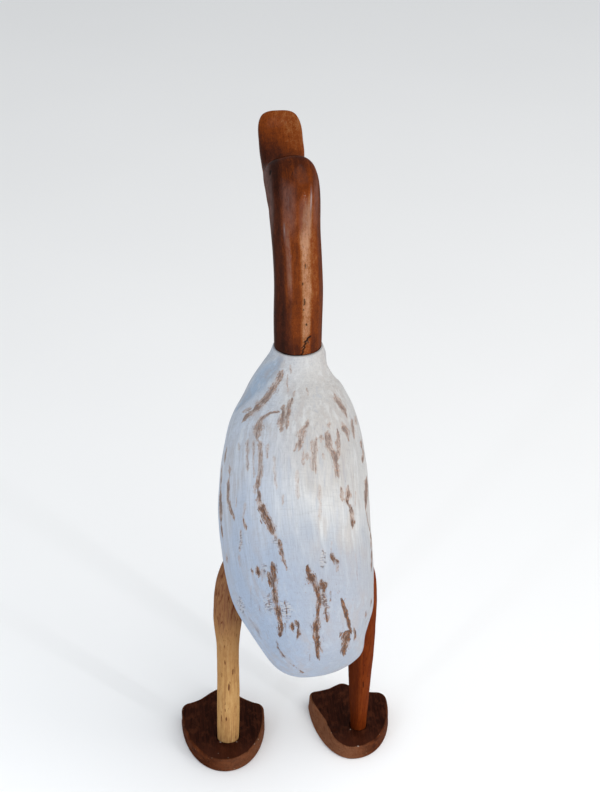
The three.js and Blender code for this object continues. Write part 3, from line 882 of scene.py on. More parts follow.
# Painted grey sheen on the varnish for reflections of the sky, with painted highlights where it passes 1, as
# above
NECK_PAINTED_SHEEN = [
    (72, 15, 442, 476, 0.50), (60, 3.0, 437, 446, 1.8), (122, 2.4, 452, 472, 1.7),
    (66, 6, 392, 446, 0.55), (110, 15, 436, 466, 0.50), (138, 9, 446, 478, 0.5),
    (9, 17, 436, 486, 0.62), (250, 16, 430, 470, 0.4),
]
# Heights over which such a patch comes in at its foot, and goes at its top in figure and shade and in painted
# sheen
PATCH_FOOT = 12
FIGURE_TOP = 9
SHEEN_TOP = 6
# Both end where the bill begins
BILL_FROM = 0.7
# The top of the bill has painted shade at its root and painted light at its tip, and is darker toward the
# goose's left
BILL_ROOT_SHADE = -0.34
BILL_TIP_LIGHT = 0.13
BILL_SIDE_TONE = -0.07
BILL_COMES, BILL_ROOT_GOES, BILL_TIP_COMES = (0.66, 0.74), (0.79, 0.91), (0.86, 0.97)
# Part of the section that counts as the top, and how much further along it changes on the goose's left
BILL_TOP = -0.2, 0.3
BILL_SLANT = 0.05

# Cracks and pits in the neck, as share of the way along and degrees round, with half width in mm
CRACKS = [
    (0.8, [(0.068, 117), (0.063, 110), (0.055, 108), (0.050, 102)]),
    (0.6, [(0.050, 102), (0.045, 106), (0.036, 100), (0.030, 103), (0.020, 97), (0.012, 99), (0.003, 93)]),
    (0.4, [(0.055, 108), (0.046, 112)]), (0.4, [(0.036, 100), (0.030, 95)]),
    (0.6, [(0.117, 105), (0.113, 106)]), (0.4, [(0.208, 99), (0.197, 100), (0.187, 98)]),
    (0.35, [(0.172, 97), (0.168, 98)]), (0.35, [(0.32, 104), (0.309, 105)]),
    (0.35, [(0.262, 96), (0.255, 96)]),
    (0.35, [(0.05, 236), (0.08, 240), (0.12, 239), (0.15, 243)]),
]
CRACK_DEPTH = 0.6
# A crack's edge runs from full to nothing between these shares of its half width, and an eye's likewise
CRACK_EDGE = 0.4, 1.6
EYE_EDGE = 0.7, 1.05
EYES = [(0.636, 24), (0.636, 156)]
EYE_RADIUS = 2.3
EYE_DEPTH = 0.7
# The mouth line starts over this share of the way, on the sides of the bill alone
MOUTH_FROM = 0.80
MOUTH_START = 0.03
MOUTH_SIDES = 0.2
MOUTH_LEVEL = -0.25
MOUTH_WIDTH = 0.09
MOUTH_DEPTH = 0.5
# Fine and broad unevenness of the knife: stretch, size, seed and depth, and what it takes off in all
KNIFE_WORK = [([1, 1, 0.3], 9, 5, 0.10), ([1, 1, 0.5], 22, 6, 0.16)]
KNIFE_TAKES = 0.12
# Dark ragged joint with the body: its upper edge in mm, and the size, seed and height of its raggedness
JOINT_EDGE = 0.5, 1.3
JOINT_RAGGED = 3.5, 9, 0.7
# How dark an eye, the mouth line and the joint with the body are beside a crack
EYE_DARK, MOUTH_DARK, JOINT_DARK = 0.9, 0.8, 0.85


def neck_axis(height):
    """How far toward the goose's left the neck's axis lies at a height."""
    climb = np.maximum((height - NECK_FOOT) / (BILL_HEIGHT - NECK_FOOT), 0)
    return NECK_SEAT[0] + NECK_LEAN * climb**2 + between(BOW_AT, BOW, np.clip(height, BOW_AT[0], BOW_AT[-1]))


def head_section(a, t, shut=1.0):
    """Points of the neck and head before the knife's finer cuts, with their place in the section."""

    def read(values):
        return between(HEAD_AT, values, a)

    power = 2 / read(HEAD_SQUARE)
    near_tip = np.maximum(1 - (1 - a) / BILL_TIP_ROUNDING, 0)
    half = read(HEAD_HALF) * np.sqrt(1 - BILL_TIP_NARROWING * near_tip**4)
    across, up = np.cos(t), np.sin(t)
    wide = np.sign(across) * np.abs(across) ** power
    deep = np.sign(up) * np.abs(up) ** power
    scoop = SCOOP * smoothstep(*SCOOP_COMES, a) * (1 - smoothstep(*SCOOP_GOES, a))
    scooped = scoop * (1 - np.abs(wide) ** SCOOP_FLATNESS) * np.maximum(deep, 0) ** 2 * shut
    mix = (1 - deep * shut) / 2 + scooped
    reach = read(HEAD_BACK_REACH) * (1 - mix) + read(HEAD_FRONT_REACH) * mix
    height = read(HEAD_BACK_HEIGHT) * (1 - mix) + read(HEAD_FRONT_HEIGHT) * mix
    sway = HEAD_SWAY * smoothstep(*SWAY_REACH, reach) * smoothstep(*SWAY_COMES, a)
    x = neck_axis(height) + sway + wide * shut * half
    return np.stack([x, NECK_SEAT[1] - reach, height], -1), wide, deep, half


def pare(rings, axis_x, facing_x, facing_y, out, keep):
    """Cuts a flat that faces one way, a distance out from the neck's axis."""
    x, y = rings[..., 0] - axis_x, rings[..., 1] - NECK_SEAT[1]
    past = x * facing_x + y * facing_y - out
    shift = (softly_below(past, FLAT_EDGE) - past) * keep * (past > -FLAT_REACH)
    rings[..., 0] += shift * facing_x
    rings[..., 1] += shift * facing_y


def pare_neck_and_cheek(rings, a, wide, half, shut):
    """Flats round the neck and the planed side of the head."""
    height = rings[..., 2]
    axis_x = neck_axis(height)
    keep = (1 - smoothstep(*FLATS_GO, a)) * smoothstep(0.98, 1, shut)
    for i, (facing, spread) in enumerate(NECK_FLATS):
        way = np.radians(facing + FLAT_SWING * np.sin(height / FLAT_SWING_LENGTH + FLAT_SWING_APART * i))
        pare(rings, axis_x, np.cos(way), np.sin(way), half * math.cos(math.radians(spread)), keep)
    behind = rings[..., 1] - NECK_SEAT[1] > -CHEEK_FRONT
    keep = smoothstep(*CHEEK_COMES, a) * (1 - smoothstep(*CHEEK_GOES, a)) * (wide > 0) * behind
    pare(rings, axis_x, *CHEEK_FACING, CHEEK_OUT, keep)


def facing_out(rings):
    """Direction away from the wood at each point of rings."""
    out = unit(np.cross(np.roll(rings, -1, 1) - np.roll(rings, 1, 1), np.gradient(rings, axis=0)))
    out *= np.sign(np.einsum("ijk,ijk->ij", out, rings - rings.mean(1, keepdims=True)))[..., None]
    return out


def line_gap(points, line):
    """Distance of each point from a line of points in space."""
    best = np.full(len(points), 1e9)
    for a, b in zip(line[:-1], line[1:]):
        ab = b - a
        t = np.clip((points - a) @ ab / max(ab @ ab, 1e-9), 0, 1)
        best = np.minimum(best, np.linalg.norm(points - a - t[:, None] * ab, axis=1))
    return best


def cracks_and_eyes(flat):
    """1 in the cracks and in the eyes, and 0 away from them."""
    crack = np.zeros(len(flat))
    for width, places in CRACKS:
        share, around = np.array(places, float).T
        line = head_section(share, np.radians(around))[0]
        crack = np.maximum(crack, 1 - smoothstep(*CRACK_EDGE, line_gap(flat, line) / width))
    eye = np.zeros(len(flat))
    for share, around in EYES:
        spot = head_section(np.array([share]), np.radians([around]))[0]
        gap = np.linalg.norm(flat - spot, axis=1)
        eye = np.maximum(eye, 1 - smoothstep(*EYE_EDGE, gap / EYE_RADIUS))
    return crack, eye


def patch_on_neck(degrees, height, a, patch, top):
    """What one patch of figure and painted shade, or of painted sheen, adds, full at its facing and faded
    round it, above and below.
    """
    facing, spread, low, high, amount = patch
    off = (degrees - facing + 180) % 360 - 180
    near = np.exp(-((off / spread) ** 4)) * smoothstep(low - PATCH_FOOT, low + PATCH_FOOT, height)
    return amount * near * (1 - smoothstep(high - top, high + top, height)) * (a < BILL_FROM)


def tone_and_painted_sheen(a, degrees, height, wide, deep):
    """Tone of the wood with painted highlight and shade, and painted sheen on the varnish, over the neck and
    head.
    """
    tone_and_shade = np.full(a.shape, MIDDLE_TONE)
    # Figure of the wood, with painted highlight and shade
    for patch in NECK_FIGURE_AND_SHADE:
        tone_and_shade += patch_on_neck(degrees, height, a, patch, FIGURE_TOP)
    # Painted grey sheen and highlights on the varnish
    painted_sheen = np.zeros(a.shape)
    for patch in NECK_PAINTED_SHEEN:
        painted_sheen = np.maximum(painted_sheen, patch_on_neck(degrees, height, a, patch, SHEEN_TOP))
    # Painted shade at the bill's root and painted light at its tip
    on_bill = smoothstep(*BILL_TOP, deep) * smoothstep(*BILL_COMES, a)
    far = a - BILL_SLANT * wide
    root = BILL_ROOT_SHADE * (1 - smoothstep(*BILL_ROOT_GOES, far))
    tip = BILL_TIP_LIGHT * smoothstep(*BILL_TIP_COMES, far)
    return tone_and_shade + on_bill * (root + tip + BILL_SIDE_TONE * wide), painted_sheen


def neck_and_head():
    """Neck and head in one piece, pared with long flats, with cracks, eyes and a mouth line."""
    s = np.linspace(0, 1, HEAD_RINGS)
    along = np.maximum(s - HEAD_RINGS_CROWDING * np.sin(2 * np.pi * s) * s, FIRST_FULL_RING)
    along = np.concatenate([NECK_END_AT, along])
    close = np.concatenate([NECK_END_RADII / NECK_RADIUS, np.ones(HEAD_RINGS)])
    last = np.clip((along - (1 - TIP_EDGE)) / TIP_EDGE, 0, 1)
    close = close * (1 - last**TIP_SQUARENESS) ** (1 / TIP_SQUARENESS)
    turn = np.linspace(0, 2 * np.pi, HEAD_SIDES, endpoint=False)
    a, t = np.meshgrid(along, turn, indexing="ij")
    shut = np.repeat(close[:, None], HEAD_SIDES, 1)
    rings, wide, deep, half = head_section(a, t, shut)
    pare_neck_and_cheek(rings, a, wide, half, shut)

    flat = rings.reshape(-1, 3)
    out = facing_out(rings)
    rise = sum(ripple(flat * stretch, size, seed) * depth for stretch, size, seed, depth in KNIFE_WORK)
    rise = rise.reshape(a.shape) - KNIFE_TAKES
    crack, eye = (field.reshape(a.shape) for field in cracks_and_eyes(flat))
    size, seed, ragged = JOINT_RAGGED
    above = rings[..., 2] - NECK_FOOT + ripple(flat, size, seed).reshape(a.shape) * ragged
    joint = 1 - smoothstep(*JOINT_EDGE, above)
    mouth = np.exp(-(((deep - MOUTH_LEVEL) / MOUTH_WIDTH) ** 2))
    mouth = mouth * smoothstep(MOUTH_FROM, MOUTH_FROM + MOUTH_START, a) * (np.abs(wide) > MOUTH_SIDES)
    rise = rise - crack * CRACK_DEPTH - eye * EYE_DEPTH - mouth * MOUTH_DEPTH
    rings += out * (rise * smoothstep(0.9, 1, shut) * (1 - last[:, None]))[..., None]

    tone_and_shade, painted_sheen = tone_and_painted_sheen(a, np.degrees(t), rings[..., 2], wide, deep)
    run = distance_gone(rings.mean(1))
    lay = np.stack([wide * half, deep * NECK_RADIUS, np.repeat(run[:, None], HEAD_SIDES, 1)], -1) * MM
    dark = np.maximum(np.maximum(crack, eye * EYE_DARK), np.maximum(mouth * MOUTH_DARK, joint * JOINT_DARK))
    return rings, {"lay": lay, "tone_and_shade": tone_and_shade, "crack": dark, "painted_sheen": painted_sheen}


# Legs and feet

SHIN_TOP = 112.0
# Shares of the knee's inset that the stick has halfway up the shin and at its top
SHIN_INSETS = 0.4, 0.6
# The knee is at its thickest from this far below its height
KNEE_SWELL_BELOW = 8.0
# The thigh's place above the knee and further in than it
THIGH_RISE = 24.0
THIGH_INSET = 3.0
HIP_HEIGHT = 186.0
HIP_INSET = 14.0
# The rail runs on into the body, this far in from the hip and above it, and scribed_leg cuts it off
LEG_END_INSET = 14.0
LEG_END_RISE = 8.0
# Above the shin the stick comes forward by these distances: at the knee, thigh, hip and end
FORWARD = 1.0, 3.0, 5.0, 6.0
# Last station of the stick's thickness, this far above the hip, and how much fuller the calf is
LEG_SWELL_TO = 10.0
LEG_FULLNESS = 0.3
# The first two points stand this close and so do the last two, which closes the ends flat
END_STEP = 0.02
SMOOTH_FOOT_END = 6.0
FOOT_THICKNESS = 12.0
SOCKET_DEPTH = 4.0
SOCKET_PLAY = 3 * GAP
LEGS = {
    "left_leg": dict(
        side=1, ankle=(53.1, -11.5), knee_inset=2.3, knee_back=7.0, shin_top=106.0, knee_height=145.0,
        ankle_radius=8.7, shin_radius=8.8, knee_radius=11.3, seed=0.9,
        # Dark flecks, as the body's streaks, with share of the way up the leg
        flecks=[
            (1.0, 0, [(0.345, 92, 1.3), (0.305, 90, 1.3)]), (1.0, 0, [(0.165, 78, 1.2), (0.135, 76, 1.2)]),
            (0.9, 0, [(0.21, 70, 0.9), (0.19, 72, 0.9)]), (0.9, 0, [(0.42, 115, 1.0), (0.385, 112, 1.0)]),
            (0.9, 0, [(0.47, 70, 1.0), (0.44, 73, 1.0)]), (0.8, 0, [(0.5, 250, 1.0), (0.45, 252, 1.0)]),
            (0.8, 0, [(0.25, 310, 1.0), (0.22, 308, 1.0)]),
        ]),
    "right_leg": dict(
        side=-1, ankle=(-54.5, -15.4), knee_inset=-0.5, knee_back=6.4, shin_top=88.0, knee_height=146.0,
        ankle_radius=6.1, shin_radius=10.3, knee_radius=11.5, seed=1.7,
        flecks=[(0.7, 0, [(0.3, 100, 0.9), (0.26, 102, 0.9)])]),
}
LEG_SIDES = 96
LEG_RINGS = 420
# Points of the spline between two of a rail's own, before they are spaced evenly
SPLINE_POINTS = 80


def through(points, count):
    """Evenly spaced points on a centripetal spline through the given ones."""
    points = np.asarray(points, float)
    padded = np.vstack([2 * points[0] - points[1], points, 2 * points[-1] - points[-2]])
    fine = []
    for i in range(len(points) - 1):
        p = padded[i:i + 4]
        gap = np.maximum(np.linalg.norm(np.diff(p, axis=0), axis=1) ** 0.5, 1e-4)
        step = [(p[k + 1] - p[k]) / gap[k] for k in range(3)]
        leaving = (step[0] - (p[2] - p[0]) / (gap[0] + gap[1]) + step[1]) * gap[1]
        arriving = (step[1] - (p[3] - p[1]) / (gap[1] + gap[2]) + step[2]) * gap[1]
        t = np.linspace(0, 1, SPLINE_POINTS, endpoint=i == len(points) - 2)[:, None]
        fine.append(hermite(t, p[1], leaving, p[2], arriving))
    return evenly_spaced(np.vstack(fine), count)


def leg_rail(leg):
    """Rail of a leg from its socket in the foot to its end in the body, and its values."""
    x, y = leg["ankle"]
    s, inset, knee = leg["side"], leg["knee_inset"], leg["knee_height"]
    foot = FOOT_THICKNESS - SOCKET_DEPTH + GAP
    back = y + leg["knee_back"]
    centre = through([
        (x, y, foot),
        (x - s * inset * SHIN_INSETS[0], (y + back) / 2, (foot + SHIN_TOP) / 2),
        (x - s * inset * SHIN_INSETS[1], back, SHIN_TOP),
        (x - s * inset, back - FORWARD[0], knee),
        (x - s * (inset + THIGH_INSET), back - FORWARD[1], knee + THIGH_RISE),
        (x - s * HIP_INSET, back - FORWARD[2], HIP_HEIGHT),
        (x - s * (HIP_INSET + LEG_END_INSET), back - FORWARD[3], HIP_HEIGHT + LEG_END_RISE),
    ], LEG_RINGS)
    heights = [foot, SHIN_TOP / 2, leg["shin_top"], knee - KNEE_SWELL_BELOW, HIP_HEIGHT + LEG_SWELL_TO]
    calf = (leg["ankle_radius"] + leg["shin_radius"]) / 2 + LEG_FULLNESS
    radii = [leg["ankle_radius"], calf, leg["shin_radius"], leg["knee_radius"], leg["knee_radius"]]
    half = between(heights, radii, np.minimum(centre[:, 2], heights[-1]))
    half[0] = half[-1] = 0
    centre[1] = centre[0] + [0, 0, END_STEP]
    centre[-2] = centre[-1] - unit(centre[-1] - centre[-3]) * END_STEP
    run = distance_gone(centre)
    free = smoothstep(0, SMOOTH_FOOT_END, run)
    return centre, {"half": half * MM, "along": run / run[-1], "run": run * MM, "free": free}


def on_leg(leg, up, turn):
    """Point on a leg: share of the way up it, and degrees round from the goose's left."""
    points, rail = leg_rail(leg)
    centre = np.stack([np.interp(up, rail["along"], column) for column in points.T], -1)
    half = np.interp(up, rail["along"], rail["half"]) / MM
    turn = np.radians(turn)
    return centre + np.stack([np.cos(turn) * half, np.sin(turn) * half, np.zeros_like(half)], -1)


# The feet: places round the ankle, toward +X and forward; chips with their size and depth; pale specks
# with their height and radius
FEET = {
    "left_foot": dict(
        leg="left_leg", seed=11, heel=(2.7, -30.5), heel_sweep=(-21, 21),
        sides=((-31.9, 31), (37.5, 34)), side_sweep=(-1, -1),
        toes=((29.4, 46.0), (21.2, 50.2), (2.7, 63.0), (-17.0, 47.0), (-24.6, 41.6)),
        lean=0.0, rubbed=(0.0, 0.5), paler_facing=215,
        chips=((-14.6, -20, 1.4, 0.8), (24.4, -5, 1.2, 0.6)),
        specks=((6.5, -7.5, 12, 1.0), (-6.5, -8.5, 12, 0.5), (-21, -12, 12, 0.6), (9, -21, 12, 0.6),
                (1.5, -27, 12, 0.5))),
    "right_foot": dict(
        leg="right_leg", seed=18, heel=(6.5, -28.2), heel_sweep=(-20.0, 17.5),
        sides=((-28.4, 30.6), (37.8, 38.6)), side_sweep=(-3.4, 3.6),
        toes=((32.6, 48.2), (20, 50.8), (6.5, 57.2), (-9, 45.6), (-21.6, 42.6)),
        lean=7.5, rubbed=(0.05, 1.0), paler_facing=-35,
        chips=((24, 4, 2.4, 1.3), (20, -5, 2.0, 1.1), (29, 14, 1.6, 0.8)),
        specks=((3, -26, 11.8, 0.9), (-5, -25, 12, 0.5), (7, -5, 12, 0.5))),
}
# Corners between a foot's sides and its outer toes, this far behind the toes' tips
TOE_CORNERS = 1.5, 2
SIDE_POINTS = 60
TOE_POINTS = 30
LEAN_CENTRE = 5.6
LEAN_LENGTH = 24.0
FOOT_SIDES = 360
# Rounding of the plate's lower and upper edge
SOLE_ROUNDING = 1.2
TOP_ROUNDING = 1.8
# Rings of the plate: across its sole, round its lower edge, up its side counting one of either edge,
# round its upper edge, and over its top to the socket
SOLE_SHARES = (0, 0.3, 0.6, 0.85, 0.97)
LOWER_EDGE_RINGS = 6
SIDE_RINGS = 12
UPPER_EDGE_RINGS = 9
TOP_RINGS = np.linspace(0.03, 1, 34) ** 1.15
# The rim's wear falls by this much a radian round the upper edge, and then from this over the top
RIM_FALL = 0.25
RIM_ON_TOP = 0.5
RIM_TOP_FALL = 12
SOCKET_RIM = 0.25
SOCKET_MIDDLE = 2.0
# Round the leg the top stays as it is, from and to these distances past the ankle's radius
SMOOTH_ROUND_LEG = 2, 8
# Broad and fine unevenness of the plate: stretch, size, seed after the foot's own, and depth
PLATE_BROAD = ([1, 1, 0.4], 14, 0, 0.22)
PLATE_FINE = (1, 4.5, 1, 0.05)
PLATE_TAKES = 0.25
# A chip reaches this far down the plate's side
CHIP_HEIGHT = 4
SPECK_EDGE = 0.6, 1.1
# The unevenness comes in over these heights above the sole, and the paler sides, partly worn and partly
# painted light, with a side's turn
SOLE_KEPT = 0.2, 2.5
PALER_TURN = -0.2, 0.9


def bezier(points, count):
    t = np.linspace(0, 1, count, endpoint=False)[:, None]
    points = [np.asarray(p, float) for p in points]
    while len(points) > 1:
        points = [a * (1 - t) + b * t for a, b in zip(points[:-1], points[1:])]
    return points[0]


def foot_outline(foot):
    """Outline of a foot round its ankle, as [toward +X, forward], evenly spaced."""
    x, y = foot["heel"]
    heel_right, heel_left = foot["heel_sweep"]
    right, left = foot["sides"]
    side_right, side_left = foot["side_sweep"]
    toes = np.asarray(foot["toes"], float)
    parts = [
        bezier([(x, y), (x + heel_left, y), (left[0], side_left), left], SIDE_POINTS),
        bezier([left, (left[0], toes[0][1] - TOE_CORNERS[0]), toes[0]], TOE_POINTS),
    ]
    padded = np.vstack([toes[0], toes, toes[-1]])
    t = np.linspace(0, 1, TOE_POINTS, endpoint=False)[:, None]
    for before, start, end, after in zip(padded, padded[1:], padded[2:], padded[3:]):
        parts.append(hermite(t, start, (end - before) / 2, end, (after - start) / 2))
    parts.append(bezier([toes[-1], (right[0], toes[-1][1] - TOE_CORNERS[1]), right], TOE_POINTS))
    parts.append(bezier([right, (right[0], side_right), (x + heel_right, y), (x, y)], SIDE_POINTS))
    return evenly_spaced(np.vstack(parts), FOOT_SIDES, closed=True)


def plate_rings(outline, inward, socket):
    """Rings of a plate from the middle of its sole, over its rim and top, down into its socket."""
    rings, rims = [], []

    def add(plan, height, rim):
        rings.append(np.concatenate([plan, np.full((FOOT_SIDES, 1), height)], 1))
        rims.append(np.full(FOOT_SIDES, float(rim)))

    for share in SOLE_SHARES:
        add((outline + inward * SOLE_ROUNDING) * share, 0, 0)
    for q in np.linspace(0, math.pi / 2, LOWER_EDGE_RINGS):
        add(outline + inward * SOLE_ROUNDING * (1 - math.sin(q)), SOLE_ROUNDING * (1 - math.cos(q)), 1)
    for height in np.linspace(SOLE_ROUNDING, FOOT_THICKNESS - TOP_ROUNDING, SIDE_RINGS)[1:-1]:
        add(outline, height, 1)
    for q in np.linspace(0, math.pi / 2, UPPER_EDGE_RINGS):
        height = FOOT_THICKNESS - TOP_ROUNDING + TOP_ROUNDING * math.sin(q)
        add(outline + inward * TOP_ROUNDING * (1 - math.cos(q)), height, 1 - RIM_FALL * q)
    inner = outline + inward * TOP_ROUNDING
    for share in TOP_RINGS:
        rim = max(RIM_ON_TOP - share * RIM_TOP_FALL, 0)
        add(inner * (1 - share) + socket * share, FOOT_THICKNESS, rim)
    for depth in (SOCKET_RIM, SOCKET_MIDDLE, SOCKET_DEPTH):
        add(socket, FOOT_THICKNESS - depth, 0)
    for share in (0.5, 0):
        add(socket * share, FOOT_THICKNESS - SOCKET_DEPTH, 0)
    return np.array(rings), np.array(rims)


def webbed_foot(name, foot):
    """Foot plate with a rounded rim, knife-cut sides and a socket for its leg."""
    leg = LEGS[foot["leg"]]
    outline = foot_outline(foot)
    tangent = unit(np.roll(outline, -1, 0) - np.roll(outline, 1, 0))
    inward = np.stack([-tangent[:, 1], tangent[:, 0]], -1)
    if np.einsum("ij,ij->i", inward, outline - outline.mean(0)).mean() > 0:
        inward = -inward
    rings, rims = plate_rings(outline, inward, unit(outline) * (leg["ankle_radius"] + SOCKET_PLAY))

    # Inner side of the plate cut back toward its top
    share = np.clip(rings[..., 0] / foot["sides"][1][0], 0, 1)
    share = share * np.exp(-(((rings[..., 1] - LEAN_CENTRE) / LEAN_LENGTH) ** 2))
    near, far = (leg["ankle_radius"] + past for past in SMOOTH_ROUND_LEG)
    off_socket = smoothstep(near, far, np.linalg.norm(rings[..., :2], axis=-1))
    rings[..., 0] -= foot["lean"] * share * rings[..., 2] / FOOT_THICKNESS * off_socket

    # Hand-cut unevenness on the top and sides, none on the sole
    flat = rings.reshape(-1, 3)
    rise = sum(ripple(flat * stretch, size, foot["seed"] + more) * depth
               for stretch, size, more, depth in (PLATE_BROAD, PLATE_FINE)).reshape(rings.shape[:2])
    way = np.zeros_like(rings)
    on_side = smoothstep(0.3, 1, rims)
    way[..., :2] = -inward[None] * on_side[..., None]
    way[..., 2] = (1 - on_side) * (rings[..., 2] > FOOT_THICKNESS - 0.3)
    amount = (rise - PLATE_TAKES) * off_socket * smoothstep(*SOLE_KEPT, rings[..., 2])
    rings += way * amount[..., None]

    # Chips out of the plate's edge, and how pale its sides are: partly wear and partly painted light on the
    # sides that face one way
    for chip_x, chip_y, size, depth in foot["chips"]:
        near = np.exp(-(((rings[..., 0] - chip_x) ** 2 + (rings[..., 1] - chip_y) ** 2) / size**2))
        upper = smoothstep(FOOT_THICKNESS - CHIP_HEIGHT, FOOT_THICKNESS, rings[..., 2])
        rings[..., 2] -= depth * near * upper
    # Sides facing one way are paler: partly wear, partly painted light
    low, high = foot["rubbed"]
    paler_way = math.radians(foot["paler_facing"])
    facing = -(inward @ np.array([math.cos(paler_way), math.sin(paler_way)]))
    wear_and_light = (low + (high - low) * smoothstep(*PALER_TURN, facing))[None] * np.ones_like(rims)
    speck = np.zeros_like(rims)
    for *place, radius in foot["specks"]:
        gap = np.linalg.norm(rings - np.array(place, float), axis=-1) / radius
        speck = np.maximum(speck, 1 - smoothstep(*SPECK_EDGE, gap))
    lay = rings[..., [0, 2, 1]] * MM
    rings[..., 1] *= -1
    rings[..., :2] += leg["ankle"]
    return new_piece(name, grid_mesh(name, rings, {"lay": lay, "rim": rims, "wear_and_light": wear_and_light, "speck": speck}))


# Finishes

# Size of a pattern that must not change in one direction
FAR = 1000.0

# Chalk paint from the tail up to the neck, with painted light and shade: on the back bluish painted shade low
# down and a painted highlight partway up, and cooler painted shade toward the goose's left
PAINT_LIGHT_AND_SHADE_ON_BACK = [
    (0.0, (0.305, 0.34, 0.40)), (0.20, (0.325, 0.355, 0.41)), (0.29, (0.375, 0.40, 0.44)),
    (0.38, (0.54, 0.54, 0.53)), (0.47, (0.46, 0.445, 0.425)), (0.56, (0.42, 0.405, 0.39)),
    (0.67, (0.465, 0.455, 0.44)), (1.0, (0.475, 0.462, 0.448)),
]
PAINT_AND_SHADE_ON_LEFT = [
    (0.0, (0.310, 0.380, 0.495)), (0.2, (0.330, 0.395, 0.505)), (0.3, (0.360, 0.420, 0.525)),
    (0.5, (0.46, 0.50, 0.575)), (1.0, (0.42, 0.49, 0.58)),
]
# The same low down and high up toward its right, with painted light and shade there, and painted bluish shade
# in the cuts of the knife
PAINT_LIGHT_AND_SHADE_ON_RIGHT = (0.36, 0.365, 0.38), (0.44, 0.435, 0.425)
SHADE_IN_CUTS = (0.245, 0.345, 0.475)
BRUSH_FURROWS = (0.27, 0.28, 0.31)
CROSS_FURROWS = (0.28, 0.27, 0.28)
BRUSH_RIDGES = (0.58, 0.59, 0.59)
BRUSH_SHADE = (0.29, 0.33, 0.41)
DIRTY_VEIL = (0.36, 0.31, 0.28)
DIRTY_GRIT = (0.24, 0.23, 0.24)
# Wood under a light and under a hard streak, its heart lines and what both are high up
WOOD_LIGHT, WOOD_HARD, WOOD_HIGH = (0.235, 0.165, 0.135), (0.128, 0.080, 0.058), (0.260, 0.198, 0.170)
HEART_DARK, HEART_RED, HEART_HIGH = (0.070, 0.036, 0.026), (0.185, 0.080, 0.036), (0.16, 0.118, 0.105)
# Paint rubbed thin: in a light streak low down and high up, and in a hard one
THIN_LOW, THIN_HIGH, THIN_HARD = (0.28, 0.295, 0.34), (0.43, 0.335, 0.28), (0.33, 0.245, 0.205)
STRAY_SCRATCH = (0.19, 0.16, 0.155)
SPECKLE = (0.14, 0.12, 0.12)
PAINT_BETWEEN_TEETH = (0.44, 0.43, 0.42)
TEETH = (0.13, 0.10, 0.095)
ORANGE_DOTS = (0.42, 0.16, 0.05)


def new_finish(name):
    material = bpy.data.materials.new(name)
    material.use_nodes = True
    shader = material.node_tree.nodes["Principled BSDF"]
    return material, Wiring(material.node_tree), shader


def bumped(w, shader, height, depth):
    bump = w.node("ShaderNodeBump", {"Height": height, "Distance": depth, "Strength": 1.0})
    w.link(bump.outputs[0], shader.inputs["Normal"])
    w.link(bump.outputs[0], shader.inputs["Coat Normal"])


def glossy_coat(shader, weight, roughness):
    """Sheen from a thin coat alone, so that dark wood keeps its colour toward its edges."""
    shader.inputs["Specular IOR Level"].default_value = 0.0
    shader.inputs["Coat Weight"].default_value = weight
    shader.inputs["Coat Roughness"].default_value = roughness


def chalk_patterns(w, lay, trace):
    """Patterns of the brush and of dirt over the body, and of scratches along each streak."""
    return {
        "hair": w.noise(lay, (0.0009, 0.0009, 0.018), detail=4, rough=0.65, shift=1.3),
        "stroke": w.noise(lay, (0.0040, 0.0040, 0.045), detail=4, rough=0.6, shift=4.1),
        "cross": w.noise(lay, (0.010, 0.010, 0.0011), detail=3, rough=0.6, shift=6.6),
        "patch": w.noise(lay, (0.022, 0.022, 0.045), detail=2, shift=7.7),
        "grit": w.noise(lay, (0.0006, 0.0006, 0.0009), detail=2, rough=0.7, shift=2.9),
        "ladder": w.noise(lay, (0.0030, 0.0030, 0.0009), detail=1, rough=0.5, shift=5.7),
        "fibre": w.noise(trace, (0.0010, FAR, 0.0075), detail=3, rough=0.6, shift=9.2),
        "dots": w.noise(trace, (0.0007, FAR, 0.0012), detail=2, rough=0.6, shift=3.8),
        "vein": w.noise(trace, (0.0009, FAR, 0.0050), detail=2, rough=0.6, shift=12.4),
    }


def brushed_paint(w, lay, climb, pattern):
    """Colour of the paint where it is whole, with painted light and shade: cooler painted shade on the left
    and low down, a painted highlight over the back and painted bluish shade in the knife's cuts; brushed
    along, with some dirt in it.
    """
    left = w.parts(lay)["X"]
    # Painted light and shade over the paint: bluish low down and toward the goose's left, a highlight partway
    # up the back, lighter low down and darker high up toward its right
    paint = w.ramp(climb, PAINT_LIGHT_AND_SHADE_ON_BACK)
    paint = w.layer(paint, left, -0.012, 0.040, 0.9, w.ramp(climb, PAINT_AND_SHADE_ON_LEFT))
    paint = w.layer(paint, left, -0.020, -0.055, 0.65, w.blend(w.level(climb, 0.25, 0.45), *PAINT_LIGHT_AND_SHADE_ON_RIGHT))
    # Painted bluish shade in the knife's cuts
    paint = w.blend(w.times(w.own("wash"), 0.90), paint, SHADE_IN_CUTS)
    paint = w.layer(paint, pattern["hair"], 0.42, 0.66, 0.34, BRUSH_FURROWS)
    paint = w.layer(paint, pattern["cross"], 0.50, 0.70, 0.22, CROSS_FURROWS)
    ridges = w.times(w.level(pattern["stroke"], 0.50, 0.72), w.level(climb, 0.15, 0.50, 0.12, 0.40))
    paint = w.blend(ridges, paint, BRUSH_RIDGES)
    paint = w.layer(paint, pattern["stroke"], 0.46, 0.30, 0.30, BRUSH_SHADE)
    veil = w.times(w.level(pattern["patch"], 0.42, 0.62), w.level(pattern["stroke"], 0.60, 0.42, 0.0, 0.38))
    paint = w.blend(veil, paint, DIRTY_VEIL)
    return w.layer(paint, pattern["grit"], 0.56, 0.74, 0.35, DIRTY_GRIT)


